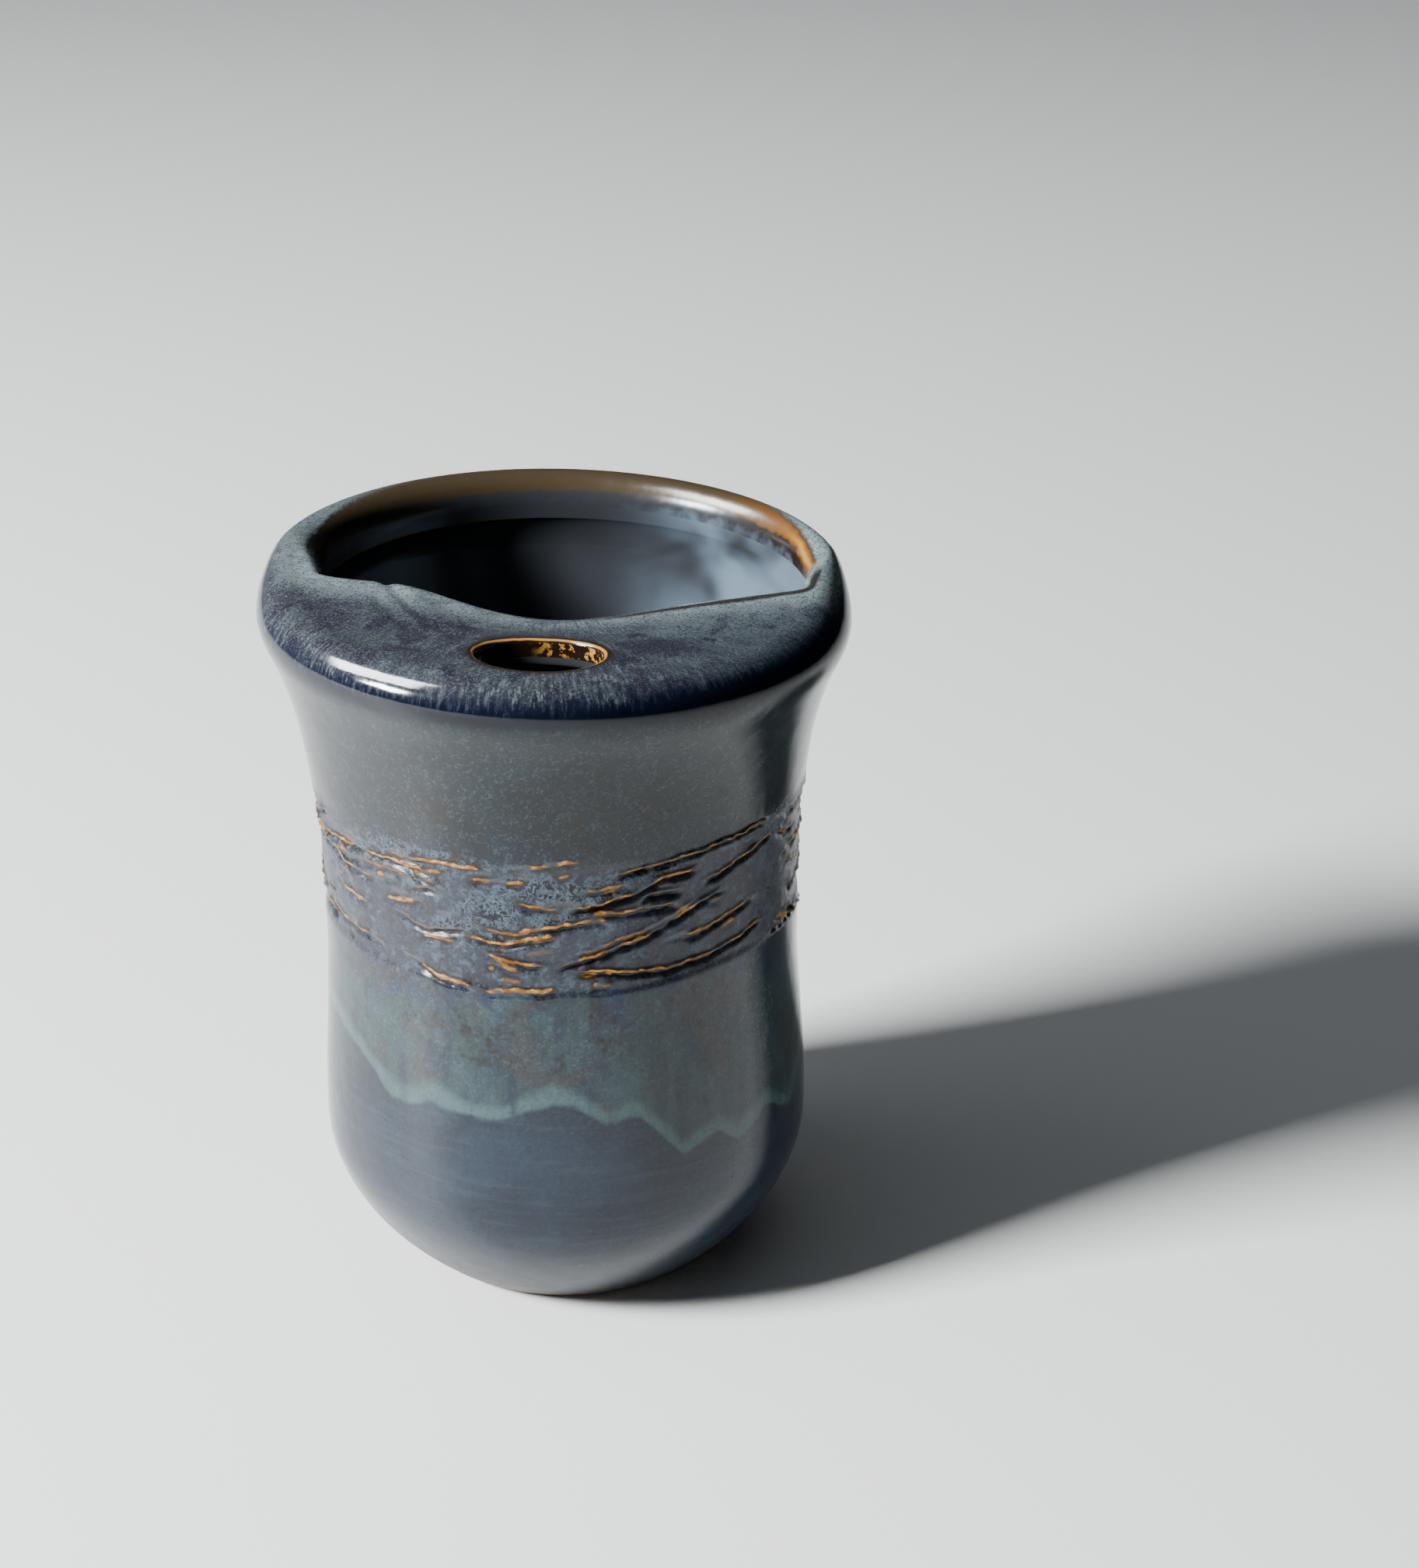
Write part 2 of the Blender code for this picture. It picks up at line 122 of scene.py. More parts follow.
# Strokes on the front: (angle, height) points along each, then how far its ledge stands out, how
# deep the groove below it is, and how golden its edge burns; degrees and millimetres
FRONT_STROKES = (
    (((-82, 55.9), (-73, 55.5), (-60, 56.2), (-48, 56.9), (-35, 57.1), (-27, 57.0)), 0.45, 0.55, 0.75),
    (((-68, 55.0), (-57, 53.8), (-50, 53.7), (-44, 54.1)), 0.3, 0.4, 0.8),
    (((-40, 57.9), (-25, 58.4), (-13, 58.4)), 0.2, 0.22, 0.95),
    (((-10, 58.6), (-1, 59.2), (9, 59.9)), 0.18, 0.2, 0.8),
    (((-19, 57.2), (-11, 56.8), (-3, 57.2)), 0.2, 0.3, 0.7),
    (((-37, 57.0), (-32, 56.4), (-24, 55.3)), 0.45, 0.35, 0.3),
    (((-35, 54.5), (-30, 54.8), (-24, 54.8)), 0.2, 0.4, 0.3),
    (((-43, 51.9), (-36, 52.6), (-28, 53.3)), 0.22, 0.3, 0.95),
    (((-39, 51.7), (-33, 50.0), (-26, 50.2), (-18, 51.2)), 0.25, 0.45, 0.25),
    (((-33, 48.7), (-24, 49.3), (-20, 49.0)), 0.2, 0.3, 0.6),
    (((-38, 46.8), (-31, 45.2), (-25, 44.4), (-17, 44.2)), 0.25, 0.35, 0.8),
    (((-20, 50.4), (-13, 49.4), (-5, 50.1), (3, 51.1)), 0.4, 0.45, 1.0),
    (((-16, 48.7), (-9, 47.3), (0, 47.2)), 0.4, 0.45, 1.0),
    (((-9, 55.0), (0, 53.7), (5, 53.9)), 0.25, 0.35, 0.7),
    (((-9, 51.0), (0, 51.7), (8, 52.4)), 0.2, 0.25, 0.8),
    (((-17, 43.9), (-8, 44.1), (3, 44.4)), 0.2, 0.25, 0.8),
    (((14, 57.5), (23, 58.3), (35, 58.8), (52, 59.2), (58, 58.9)), 0.6, 0.6, 0.45),
    (((4, 53.6), (15, 54.7), (21, 55.1), (23, 56.3), (36, 56.7)), 0.5, 0.75, 0.8),
    (((20, 54.3), (26, 54.9), (32, 54.4)), 0.3, 0.7, 0.35),
    (((20, 52.9), (25, 53.3), (31, 52.9)), 0.3, 0.65, 0.4),
    (((5, 55.7), (16, 56.2), (19, 56.3)), 0.25, 0.35, 0.6),
    (((8, 53.2), (17, 53.0), (24, 53.5)), 0.3, 0.35, 0.7),
    (((-3, 51.6), (10, 52.4), (15, 52.3)), 0.2, 0.3, 0.7),
    (((1, 46.9), (15, 48.9), (23, 49.9), (32, 51.8), (44, 53.4)), 0.5, 0.6, 0.8),
    (((5, 46.7), (15, 46.1), (25, 45.5), (34, 45.6), (45, 46.0), (58, 47.0)), 0.5, 0.55, 0.7),
    (((9, 44.7), (12, 44.4), (15, 44.6)), 0.2, 0.25, 1.0),
    (((36, 54.6), (48, 55.8), (62, 56.9)), 0.35, 0.55, 0.6),
    (((30, 48.6), (42, 49.3), (55, 50.6)), 0.3, 0.45, 0.6),
    (((-64, 50.9), (-55, 50.3), (-46, 50.5)), 0.22, 0.3, 0.6),
    (((-70, 47.2), (-58, 46.3), (-46, 46.6)), 0.25, 0.35, 0.7),
)

# Strokes of the front that burn at least so golden have an echo so far above or below and so far
# to the right, if it stays so far inside the edges of the band; millimetres and degrees
ECHO_FROM = 0.75
ECHO_APART = 1.25
ECHO_SHIFT = 3
ECHO_MARGIN = 1.5

# Strokes round the rest of the band, drawn at random and the same on each run; degrees, millimetres
SIDE_ROWS = 8
SIDE_SEED = 11
SIDE_FROM = 58
SIDE_TO = 296
SIDE_LENGTH = (14, 44)
SIDE_GAP = (1, 7)
SIDE_RISE = (-2.0, 2.6)
SIDE_LEDGE = (0.2, 0.55)
SIDE_GROOVE = (0.3, 0.65)

# Short fine scratches, drawn at random too: how many, their length in degrees, and their relief
# in millimetres
SCRATCHES = 110
SCRATCH_SEED = 5
SCRATCH_LENGTH = (2.5, 10)
SCRATCH_RELIEF = 0.09

# Clots of crystals on the front of the band: angle and height of the middle, then half width and
# half height; degrees and millimetres. More lie round the sides and back, drawn at random: how
# many, and how wide and high they are
CLOTS = (
    (-31, 55.6, 5, 1.3), (-13, 53.2, 6, 2.6), (-3, 56.4, 8, 1.5), (-30, 58.7, 15, 1.2), (9, 56.0, 8, 1.2),
    (-22, 50.4, 5, 1.4), (-42, 57.6, 8, 1.0), (2, 52.6, 6, 1.0), (-9, 50.6, 6, 1.2), (24, 57.6, 10, 0.9),
)
SIDE_CLOTS = 16
SIDE_CLOT_SEED = 5
SIDE_CLOT_WIDE = (4, 12)
SIDE_CLOT_HIGH = (0.8, 2.2)

# Folds of the guard: plan points along each, depth and half width in millimetres
GUARD_FOLDS = (
    (((-19.2, -3.5), (-17.6, -6.2), (-15.3, -10.0), (-12.2, -14.0), (-8.6, -17.4), (-5.8, -18.2)), 0.34, 0.5),
    (((-19.0, -8.6), (-17.0, -11.6), (-14.0, -16.0), (-10.4, -18.3)), 0.26, 0.6),
    (((-14.2, -8.8), (-12.0, -9.4), (-10.0, -9.8)), 0.2, 0.8),
    (((9.0, -16.2), (13.9, -13.4), (18.0, -11.6), (22.4, -9.6), (25.6, -8.2)), -0.3, 1.3),
    (((7.0, -14.0), (13.9, -9.6), (20.0, -7.8), (25.8, -6.2)), 0.2, 0.6),
)

# Fineness of the mesh
COLUMNS = 420
FRONT_CROWDING = 0.3
CURVE_STEPS = 80
LOWER_ROWS = 12
BELLY_ROWS = 11
BAND_ROWS = 104
NECK_ROWS = 13
ROUND_ROWS = 6
ROUND_TURN = math.radians(63)
GUARD_ROWS = 22
EDGE_ROWS = 5
INSIDE_ROWS = 6

# The finishes in the order of the mesh's material slots
OUTER, INNER, FOOT = range(3)

# The block of faces taken out round the drinking hole: its angles, and its rows on the guard's top
# and on its underside
BLOCK_LEFT = math.radians(-19.6)
BLOCK_RIGHT = math.radians(16.0)
BLOCK_ROWS = (3, 18)
HOLE_APRON_ROWS = 7
HOLE_ROUND_ROWS = 5

# The wall of the drinking hole: the shares of its height where it has a loop, how many of its rows
# have the outer glaze, and the rows of its lower rim
HOLE_WALL_SHARES = (0.2, 0.4, 0.7, 1.0)
HOLE_GLAZED_ROWS = 3
HOLE_UNDER_ROWS = 3

# What each point of the mesh knows, and its usual value: how near it is to the lip and to the groove
# of a tear, how golden that lip burns, how thick it is with crystals, how far it is above the wavy
# glaze line, how far it is from the edge of the mouth and of the drinking hole, less than nothing
# inside them, and how much it is of the guard; distances in millimetres
MARKS = {
    "lip": 0.0, "groove": 0.0, "burn": 0.0, "crystals": 0.0,
    "above_line": 20.0, "from_mouth": 20.0, "from_hole": 20.0, "guard": 0.0,
}

# How far the apron under the guard and the inside wall count as being from the mouth's edge
UNDER_MOUTH = -9.0
INSIDE_MOUTH = -30.0

# The wavy line where the upper glaze stopped running, as (angle, height) in degrees and millimetres
GLAZE_LINE = ((-180, 27.5), (-160, 30.5), (-146, 27), (-128, 31.5), (-112, 28.5), (-92, 33.5), (-78, 33.2),
              (-66, 33.6), (-52, 31.7), (-41, 28.8), (-37, 28.5), (-29, 30.2), (-20, 28.9), (-11, 29.0),
              (0, 31.5), (5, 30.8), (12, 28.6), (17, 29.2), (20, 29.0), (25, 26.2), (30, 23.2), (35, 24.1),
              (40, 24.6), (46, 22.2), (56, 24.5), (68, 21.5), (84, 27), (101, 24.5), (118, 29.5), (135, 26),
              (158, 30.8), (180, 27.5))

# Roll of the lamp that draws the gleam out along the collar
GLEAM_ROLL = math.radians(48)

# Photograph's camera
CAMERA_PLACE = (0.01661, -0.28701, 0.18737)
CAMERA_TILT = math.radians(65.43)
CAMERA_LENS = 65.18

# Table and room; metres, and linear red, green and blue as all colours here
TABLE_HALF = 1.5
TABLE_PALE = (0.78, 0.775, 0.76)
ROOM_DARK = (0.02, 0.022, 0.025)
ROOM_PALE = (0.62, 0.68, 0.74)

# Heights that the zones of the glaze are counted from, in millimetres
BAND_FROM = BAND_BOTTOM / MM
BAND_TO = BAND_TOP / MM
COLLAR_AT = COLLAR_HEIGHT / MM

# How strongly the glaze bends light; how far the dark pool, with its painted dark reflection, rises to the
# right in millimetres; and how much paler the crown is painted there, as painted light from the right
GLAZE_BENDING = 1.4
PAINTED_REFLECTION_RISE = 0.4
CROWN_PAINTED_LIGHT_RIGHT = 0.28

# Colours of the glaze by zone, from the foot up
LOW_SLATE = (0.008, 0.012, 0.02)
LOW_BLUE = (0.011, 0.018, 0.03)
LOW_PALE = (0.024, 0.034, 0.046)
LOW_FOOT = (0.006, 0.008, 0.01)
LINE_PALE = (0.048, 0.085, 0.086)
RUN_BLUE = (0.011, 0.018, 0.026)
RUN_TEAL = (0.018, 0.033, 0.036)
RUN_PALE = (0.032, 0.054, 0.058)
RUN_RUSTY = (0.026, 0.022, 0.021)
SMUDGE_COBALT = (0.007, 0.011, 0.034)
BAND_PURPLE = (0.012, 0.012, 0.02)
BAND_GREY = (0.018, 0.023, 0.033)
BAND_BLUE = (0.05, 0.072, 0.098)
BAND_CREST_PAINTED_HIGHLIGHT = (0.06, 0.06, 0.06)
NECK_GREY = (0.004, 0.006, 0.008)
NECK_TEAL = (0.007, 0.012, 0.015)
NECK_LOW = (0.006, 0.011, 0.018)
# Black of the collar's pool: the cobalt glaze pooled thick, darkened further as a painted reflection of the
# dark room
POOL_BLACK_AND_PAINTED_REFLECTION = (0.001, 0.002, 0.005)
POOL_COBALT = (0.003, 0.005, 0.014)
CROWN_PURPLE = (0.013, 0.011, 0.018)
CROWN_VIOLET = (0.012, 0.009, 0.019)
CROWN_GREY = (0.031, 0.036, 0.042)
CROWN_TEAL = (0.18, 0.225, 0.23)
PALE_CRYSTAL = (0.13, 0.16, 0.19)
DARK_PIT = (0.002, 0.003, 0.006)
GROOVE_PAINTED_SHADE = (0.007, 0.005, 0.005)
BROWN_GLAZE = (0.01, 0.005, 0.003)
FOOT_BROWN = (0.06, 0.036, 0.017)
OLIVE_GLAZE = (0.036, 0.025, 0.012)
AMBER_GLAZE = (0.13, 0.048, 0.004)
GOLD_GLAZE = (0.48, 0.25, 0.055)
INSIDE_DARK = (0.02, 0.021, 0.024)
INSIDE_MILKY = (0.095, 0.13, 0.165)
CLAY_BROWN = (0.12, 0.09, 0.065)
CLAY_PALE = (0.24, 0.19, 0.145)


def ease(t):
    """Goes smoothly from 0 to 1 as t does."""
    t = np.clip(t, 0.0, 1.0)
    return t * t * (3.0 - 2.0 * t)


def bezier(start, start_handle, end_handle, end):
    """Points along one cubic curve in the plane of radius and height."""
    points = [Vector((r, z, 0.0)) for r, z in (start, start_handle, end_handle, end)]
    return np.array([p[:2] for p in interpolate_bezier(*points, CURVE_STEPS)])


def upright_curve(start, leave, arrive, end):
    """Points along a curve that runs upright at both of its ends."""
    return bezier(start, (start[0], start[1] + leave), (end[0], end[1] - arrive), end)


def outside_profile():
    """Radius and height of the outside, from the foot to the widest ring of the collar."""
    third = BELLY_HEIGHT / 3
    belly, waist = (BELLY_RADIUS, BELLY_HEIGHT), (WAIST_RADIUS, WAIST_HEIGHT)
    slanting = (FOOT_RADIUS + (BELLY_RADIUS - FOOT_RADIUS) * 2 / 3, third)
    foot = bezier((FOOT_RADIUS, 0.0), slanting, (BELLY_RADIUS, 2 * third), belly)
    body = upright_curve(belly, BODY_STRAIGHTNESS, BODY_STRAIGHTNESS, waist)
    collar = (COLLAR_RADIUS, COLLAR_HEIGHT)
    neck = upright_curve(waist, NECK_STRAIGHTNESS, COLLAR_STRAIGHTNESS, collar)
    return np.vstack([foot, body[1:], neck[1:]])


def inside_profile():
    """Radius and height of the inside, from the throat under the lip down to the flat floor."""
    waist, belly = (WAIST_RADIUS - WALL, WAIST_HEIGHT), (BELLY_RADIUS - WALL, BELLY_HEIGHT)
    throat = (THROAT_RADIUS, THROAT_HEIGHT)
    neck = upright_curve(throat, -COLLAR_STRAIGHTNESS, -NECK_STRAIGHTNESS / 2, waist)
    body = upright_curve(waist, -BODY_STRAIGHTNESS, -BODY_STRAIGHTNESS, belly)
    upright = (belly[0], FLOOR_THICKNESS + 0.4 * (BELLY_HEIGHT - FLOOR_THICKNESS))
    level = (FLOOR_RADIUS + 0.5 * (belly[0] - FLOOR_RADIUS), FLOOR_THICKNESS)
    return neck, body, bezier(belly, upright, level, (FLOOR_RADIUS, FLOOR_THICKNESS))


def turn(angle):
    """The plan direction of each angle round the cup, counted from the front."""
    return np.stack([np.sin(angle), -np.cos(angle)], axis=-1)


def rim_level(x, z):
    """How far the handmade rim stands above or below its true level: it falls towards +X."""
    return -RIM_TILT * x / COLLAR_RADIUS * ease((z - BAND_TOP) / (COLLAR_HEIGHT - BAND_TOP))


def mouth_outline(angle):
    """The plan edge of the open mouth: round at the back, cut across by the guard in front."""
    back = MOUTH_RADIUS * turn(angle)
    across = back[:, 0]
    reach = np.hypot(across, EDGE_BOW) - EDGE_BOW
    reach = reach / (math.hypot(MOUTH_RADIUS, EDGE_BOW) - EDGE_BOW)
    edge = EDGE_MIDDLE_Y + (EDGE_CORNER_Y - EDGE_MIDDLE_Y) * reach
    gap = back[:, 1] - edge
    along = 0.5 * (back[:, 1] + edge + np.sqrt(gap**2 + CORNER_ROUND**2))
    corner = math.acos(-EDGE_CORNER_Y / MOUTH_RADIUS)
    near_corner = np.exp(-(((np.abs(angle) - corner) / CORNER_ROUND_ANGLE) ** 2))
    across = across - np.sign(across) * CORNER_ROUND * near_corner
    return np.stack([across + MOUTH_OFFSET, along], axis=-1)


def along_line(plan, points):
    """For plan places: the least distance to a bent line of points, and the share gone along it."""
    best = np.full(plan.shape[:-1], np.inf)
    share = np.zeros(plan.shape[:-1])
    pieces = len(points) - 1
    for n in range(pieces):
        start, end = np.array(points[n]) * MM, np.array(points[n + 1]) * MM
        step = end - start
        t = np.clip(((plan - start) @ step) / (step @ step), 0, 1)
        gap = np.linalg.norm(plan - start - t[..., None] * step, axis=-1)
        nearer = gap < best
        best = np.where(nearer, gap, best)
        share = np.where(nearer, (n + t) / pieces, share)
    return best, share


def guard_folds(plan):
    """The soft creases of the folded clay: how far they cut into the top of the guard."""
    relief = np.zeros(plan.shape[:-1])
    for points, depth, half in GUARD_FOLDS:
        gap, share = along_line(plan, points)
        fade = ease(share * 4) * ease((1 - share) * 4)
        relief = relief - depth * MM * fade * np.exp(-((gap / (half * MM)) ** 2))
    return relief


def top_level(plan):
    """Height of the top of the lip and the guard, before their edges are rounded."""
    x, y = plan[..., 0], plan[..., 1]
    drop = GUARD_DROP * ease((GUARD_DROP_START - y) / GUARD_DROP_LENGTH)
    near_edge = ease((y - HOLE_Y) / (EDGE_MIDDLE_Y - HOLE_Y)) * (y < 0)
    sag = EDGE_SAG * near_edge * np.exp(-((x / EDGE_SAG_HALF_WIDTH) ** 2))
    off_wing = np.hypot(x - WING_X, y - WING_Y) / WING_HALF_WIDTH
    return LIP_HEIGHT - drop - sag + WING_RISE * np.exp(-(off_wing**2))


def guard_share(mouth):
    """0 at the lip of the round back, 1 along the free edge of the guard."""
    return ease(-(mouth[:, 1] - GUARD_DROP_START) / (GUARD_DROP_START - EDGE_CORNER_Y))


def levelled(plan, level):
    """Points in space from plan places and heights, tilted with the rim."""
    level = np.broadcast_to(level, plan.shape[:-1])
    return np.concatenate([plan, (level + rim_level(plan[..., 0], level))[..., None]], axis=-1)


def crown(plan, outer, edge, inner_drop):
    """The top of the lip and guard at plan places, with both of its edges rounded."""
    shoulder = np.clip(1 - (COLLAR_RADIUS - np.hypot(plan[..., 0], plan[..., 1])) / outer, 0, 1)
    rounded = np.sqrt(1 - shoulder**2)
    top = top_level(plan) + guard_folds(plan) * ease(rounded)
    level = COLLAR_HEIGHT + (top - COLLAR_HEIGHT) * rounded
    return levelled(plan, level - inner_drop * (1 - np.sqrt(1 - edge**2)))


def guard_under(plan):
    """The underside of the guard at plan places: level, then arched down to the throat."""
    out = np.clip((np.hypot(plan[..., 0], plan[..., 1]) - THROAT_RADIUS) / VAULT_ROUND + 1, 0, 1)
    flat = top_level(plan) - GUARD_THICKNESS
    return flat + (THROAT_HEIGHT - flat) * (1 - np.sqrt(1 - out**2))


def from_hole(plan):
    """How far plan places on the guard are from the drinking hole's upright wall, over its round
    rim, in millimetres."""
    half = np.array([HOLE_LENGTH, HOLE_WIDTH]) / 2
    away = plan - np.array([HOLE_X, HOLE_Y])
    share = np.linalg.norm(away / half, axis=-1)
    gap = np.linalg.norm(away, axis=-1) * (1 - 1 / np.maximum(share, 0.1))
    return (gap + (math.pi / 2 - 1) * HOLE_RIM_ROUND) / MM


def rim_frame(angle):
    """For each angle: the collar's widest point, the way in to the mouth's edge, how far that is,
    the guard's share, and how wide the rounding is on the outer and the inner side."""
    direction, mouth = turn(angle), mouth_outline(angle)
    guard = guard_share(mouth)
    collar = COLLAR_RADIUS * direction
    inward = mouth - collar
    width = np.linalg.norm(inward, axis=1)
    lip = LIP_WIDTH - MOUTH_OFFSET * direction[:, 0]
    outer = LIP_CREST * lip * (1 - guard) + SHOULDER_ROUND * guard
    inner = (1 - LIP_CREST) * lip * (1 - guard) + GUARD_THICKNESS / 2 * guard
    return collar, inward / width[:, None], width, guard, outer, inner


def rim_rings(angle):
    """Rings from the widest ring of the collar over the lip and guard to the edge of the mouth."""
    collar, inward, width, guard, outer, inner = rim_frame(angle)
    inner_drop = LIP_INNER_DROP * (1 - guard) + GUARD_THICKNESS / 2 * guard
    turned = 1 - math.cos(ROUND_TURN)
    bends = ROUND_TURN * np.arange(1, ROUND_ROWS + 1) / ROUND_ROWS
    steps = [outer * (1 - math.cos(bend)) for bend in bends]
    flat = width - (outer + inner) * turned
    steps += [outer * turned + flat * n / GUARD_ROWS for n in range(1, GUARD_ROWS + 1)]
    steps += [width - inner * (1 - math.cos(bend)) for bend in (*bends[-2::-1], 0.0)]
    for step in steps:
        edge = np.clip(1 - (width - step) / inner, 0, 1)
        plan = collar + inward * step[:, None]
        marks = {"from_mouth": (width - step) / MM, "from_hole": from_hole(plan), "guard": guard}
        yield crown(plan, outer, edge, inner_drop), marks


def vault_rings(angle):
    """Rings from the edge of the mouth under the guard, out to the throat of the inside wall."""
    collar, inward, width, guard = rim_frame(angle)[:4]
    half = GUARD_THICKNESS / 2
    mouth = collar + inward * width[:, None]
    under = mouth - inward * (half * guard)[:, None]
    lowest = top_level(under) - half - LIP_INNER_DROP * (1 - guard) - half * guard
    throat = THROAT_RADIUS * turn(angle)
    for n in range(1, EDGE_ROWS + 1):
        bend = math.pi / 2 * n / EDGE_ROWS
        plan = mouth - inward * (half * guard * (1 - math.cos(bend)))[:, None]
        marks = {"from_mouth": -half * bend / MM, "guard": guard}
        yield levelled(plan, lowest + half * (1 - math.sin(bend))), marks
    for n in range(1, GUARD_ROWS + 1):
        share = math.sin(math.pi / 2 * n / GUARD_ROWS) ** 0.7
        plan = under + (throat - under) * share
        back = lowest + (THROAT_HEIGHT - lowest) * n / GUARD_ROWS
        level = back + (guard_under(plan) - back) * guard
        gone = np.linalg.norm(plan - under, axis=1) + np.abs(level - lowest)
        yield levelled(plan, level), {"from_mouth": -(half * math.pi / 2 + gone) / MM, "guard": guard}


def side_strokes():
    """Longer strokes for the sides and back, in rows round the band."""
    dice = np.random.default_rng(SIDE_SEED)
    strokes = []
    for row in range(SIDE_ROWS):
        level = (BAND_BOTTOM + BAND_HEIGHT * (row + 0.5) / SIDE_ROWS) / MM
        left = SIDE_FROM + dice.uniform(0, SIDE_LENGTH[0])
        while left < SIDE_TO - SIDE_GAP[1]:
            right = min(left + dice.uniform(*SIDE_LENGTH), SIDE_TO)
            start = level + dice.uniform(-0.9, 0.9)
            end = start + dice.uniform(*SIDE_RISE)
            middle = (start + end) / 2 - dice.uniform(-0.4, 0.8)
            points = ((left, start), ((left + right) / 2, middle), (right, end))
            ledge, groove = dice.uniform(*SIDE_LEDGE), dice.uniform(*SIDE_GROOVE)
            strokes.append((points, ledge, groove, dice.uniform(0.3, 1.0)))
            left = right + dice.uniform(*SIDE_GAP)
    return strokes


def scratches():
    """Short fine tears all over the band."""
    dice = np.random.default_rng(SCRATCH_SEED)
    strokes = []
    for _ in range(SCRATCHES):
        left = dice.uniform(-180, 180)
        level = dice.uniform(BAND_FROM + 1.5, BAND_TO - 0.6)
        length, rise = dice.uniform(*SCRATCH_LENGTH), dice.uniform(-0.5, 0.6)
        points = ((left, level), (left + length, level + rise))
        size = dice.uniform(0.5, 1.6) * SCRATCH_RELIEF
        strokes.append((points, size, 1.6 * size, dice.uniform(0, 0.5)))
    return strokes


def echoes():
    """A fainter second tear beside each golden one of the front that is long and well inside the band."""
    strokes = []
    lowest, highest = BAND_FROM + ECHO_MARGIN, BAND_TO - ECHO_MARGIN
    for number, (points, ledge, groove, gold) in enumerate(FRONT_STROKES):
        apart = ECHO_APART if number % 2 else -ECHO_APART
        moved = tuple((turned + ECHO_SHIFT, level + apart) for turned, level in points[:-1])
        inside = all(lowest < level < highest for _, level in moved)
        if gold >= ECHO_FROM and len(points) > 2 and inside:
            strokes.append((moved, 0.5 * ledge, 0.45 * groove, 0.45 * gold))
    return strokes


def wobbly_line(angle, points, number):
    """Height of a stroke at each angle: a smooth run through its points, with a torn waver."""
    at, heights = np.array(points).T
    line = sum(np.interp(angle + shift, at, heights) for shift in (-2.5, 0, 2.5)) / 3
    waver = np.sin(angle * 0.61 + number * 2.1) + 0.6 * np.sin(angle * 1.57 + number * 4.7)
    return line + WOBBLE * (0.5 * waver + 0.15 * np.sin(angle * 4.3 + number * 1.3))


def stroke_field(angle, height, stroke, number):
    """Relief of one torn stroke in millimetres, and how near each place is to its lip and groove."""
    points, ledge, groove, _ = stroke
    left, right = points[0][0], points[-1][0]
    line = wobbly_line(angle, points, number)
    above = height - line
    ends = min(4.0, (right - left) / 3)
    fade = ease((angle - left) / ends) * ease((right - angle) / ends)
    patchy = 0.75 + 0.25 * np.sin(angle * 1.31 + number * 3.3) * np.sin(angle * 0.37 + number)
    step = 1 / (1 + np.exp(-above / TEAR_SHARPNESS))
    relief = 0.45 * ledge * step * np.exp(-np.maximum(above, 0) / LEDGE_RUN)
    relief = relief + 0.55 * ledge * np.exp(-(((above - BEAD_UP) / BEAD_HALF) ** 2))
    hollow = np.exp(-(((above + GROOVE_DOWN) / GROOVE_HALF) ** 2))
    near_lip = fade * np.exp(-(((above - LIP_UP) / LIP_HALF) ** 2))
    return (relief - groove * hollow) * fade * patchy, near_lip, hollow * fade * min(1, groove / 0.45)


def carving(angle, height):
    """The band at places round the wall: its relief in metres, how near each place is to the lip
    and to the groove of a tear, and how golden that lip burns."""
    degrees, level = np.degrees(angle), height / MM
    wave = 0.5 * np.sin(3 * angle + 0.6) + 0.3 * np.sin(7 * angle)
    low = ease((height - BAND_BOTTOM) / BAND_EDGE + 0.5 * wave)
    high = ease((BAND_TOP - height) / BAND_EDGE + 0.5 * wave)
    relief = -BAND_RECESS / MM * low * high
    lip, groove, burn = (np.zeros(angle.shape) for _ in range(3))
    strokes = [(s, 0) for s in (*FRONT_STROKES, *echoes(), *scratches())]
    strokes += [(s, 1) for s in side_strokes()]
    for number, (stroke, behind) in enumerate(strokes):
        turned = np.where(degrees < SIDE_FROM, degrees + 360, degrees) if behind else degrees
        wide = (turned > stroke[0][0][0]) & (turned < stroke[0][-1][0])
        if not wide.any():
            continue
        shape, near_lip, near_groove = stroke_field(turned, level, stroke, number)
        relief = relief + np.where(wide, shape, 0)
        burn = np.where(wide & (near_lip > lip), stroke[3], burn)
        lip = np.where(wide, np.maximum(lip, near_lip), lip)
        groove = np.where(wide, np.maximum(groove, near_groove), groove)
    return relief * MM, {"lip": lip, "groove": groove, "burn": burn}


def crystal_clots(angle, height):
    """How thick with crystals the glaze is at places round the band."""
    dice = np.random.default_rng(SIDE_CLOT_SEED)
    clots = list(CLOTS)
    for _ in range(SIDE_CLOTS):
        turned = dice.uniform(SIDE_FROM, SIDE_TO)
        level = dice.uniform(BAND_BOTTOM + BAND_EDGE, BAND_TOP) / MM
        clots.append((turned, level, dice.uniform(*SIDE_CLOT_WIDE), dice.uniform(*SIDE_CLOT_HIGH)))
    share = np.zeros(angle.shape)
    for middle, level, wide, high in clots:
        off = (np.degrees(angle) - middle + 180) % 360 - 180
        share = np.maximum(share, np.exp(-((off / wide) ** 2) - ((height / MM - level) / high) ** 2))
    return share


def throwing(angle, height):
    """The faint rings and unevenness that the potter's fingers leave."""
    rings = 0.035 * np.sin(height / (1.9 * MM) + 0.5 * np.sin(angle)) * np.sin(height / (7 * MM))
    drift = 0.05 * np.sin(2 * angle + height / (11 * MM)) + 0.04 * np.sin(3 * angle - 1)
    return (rings + drift - 0.1) * MM


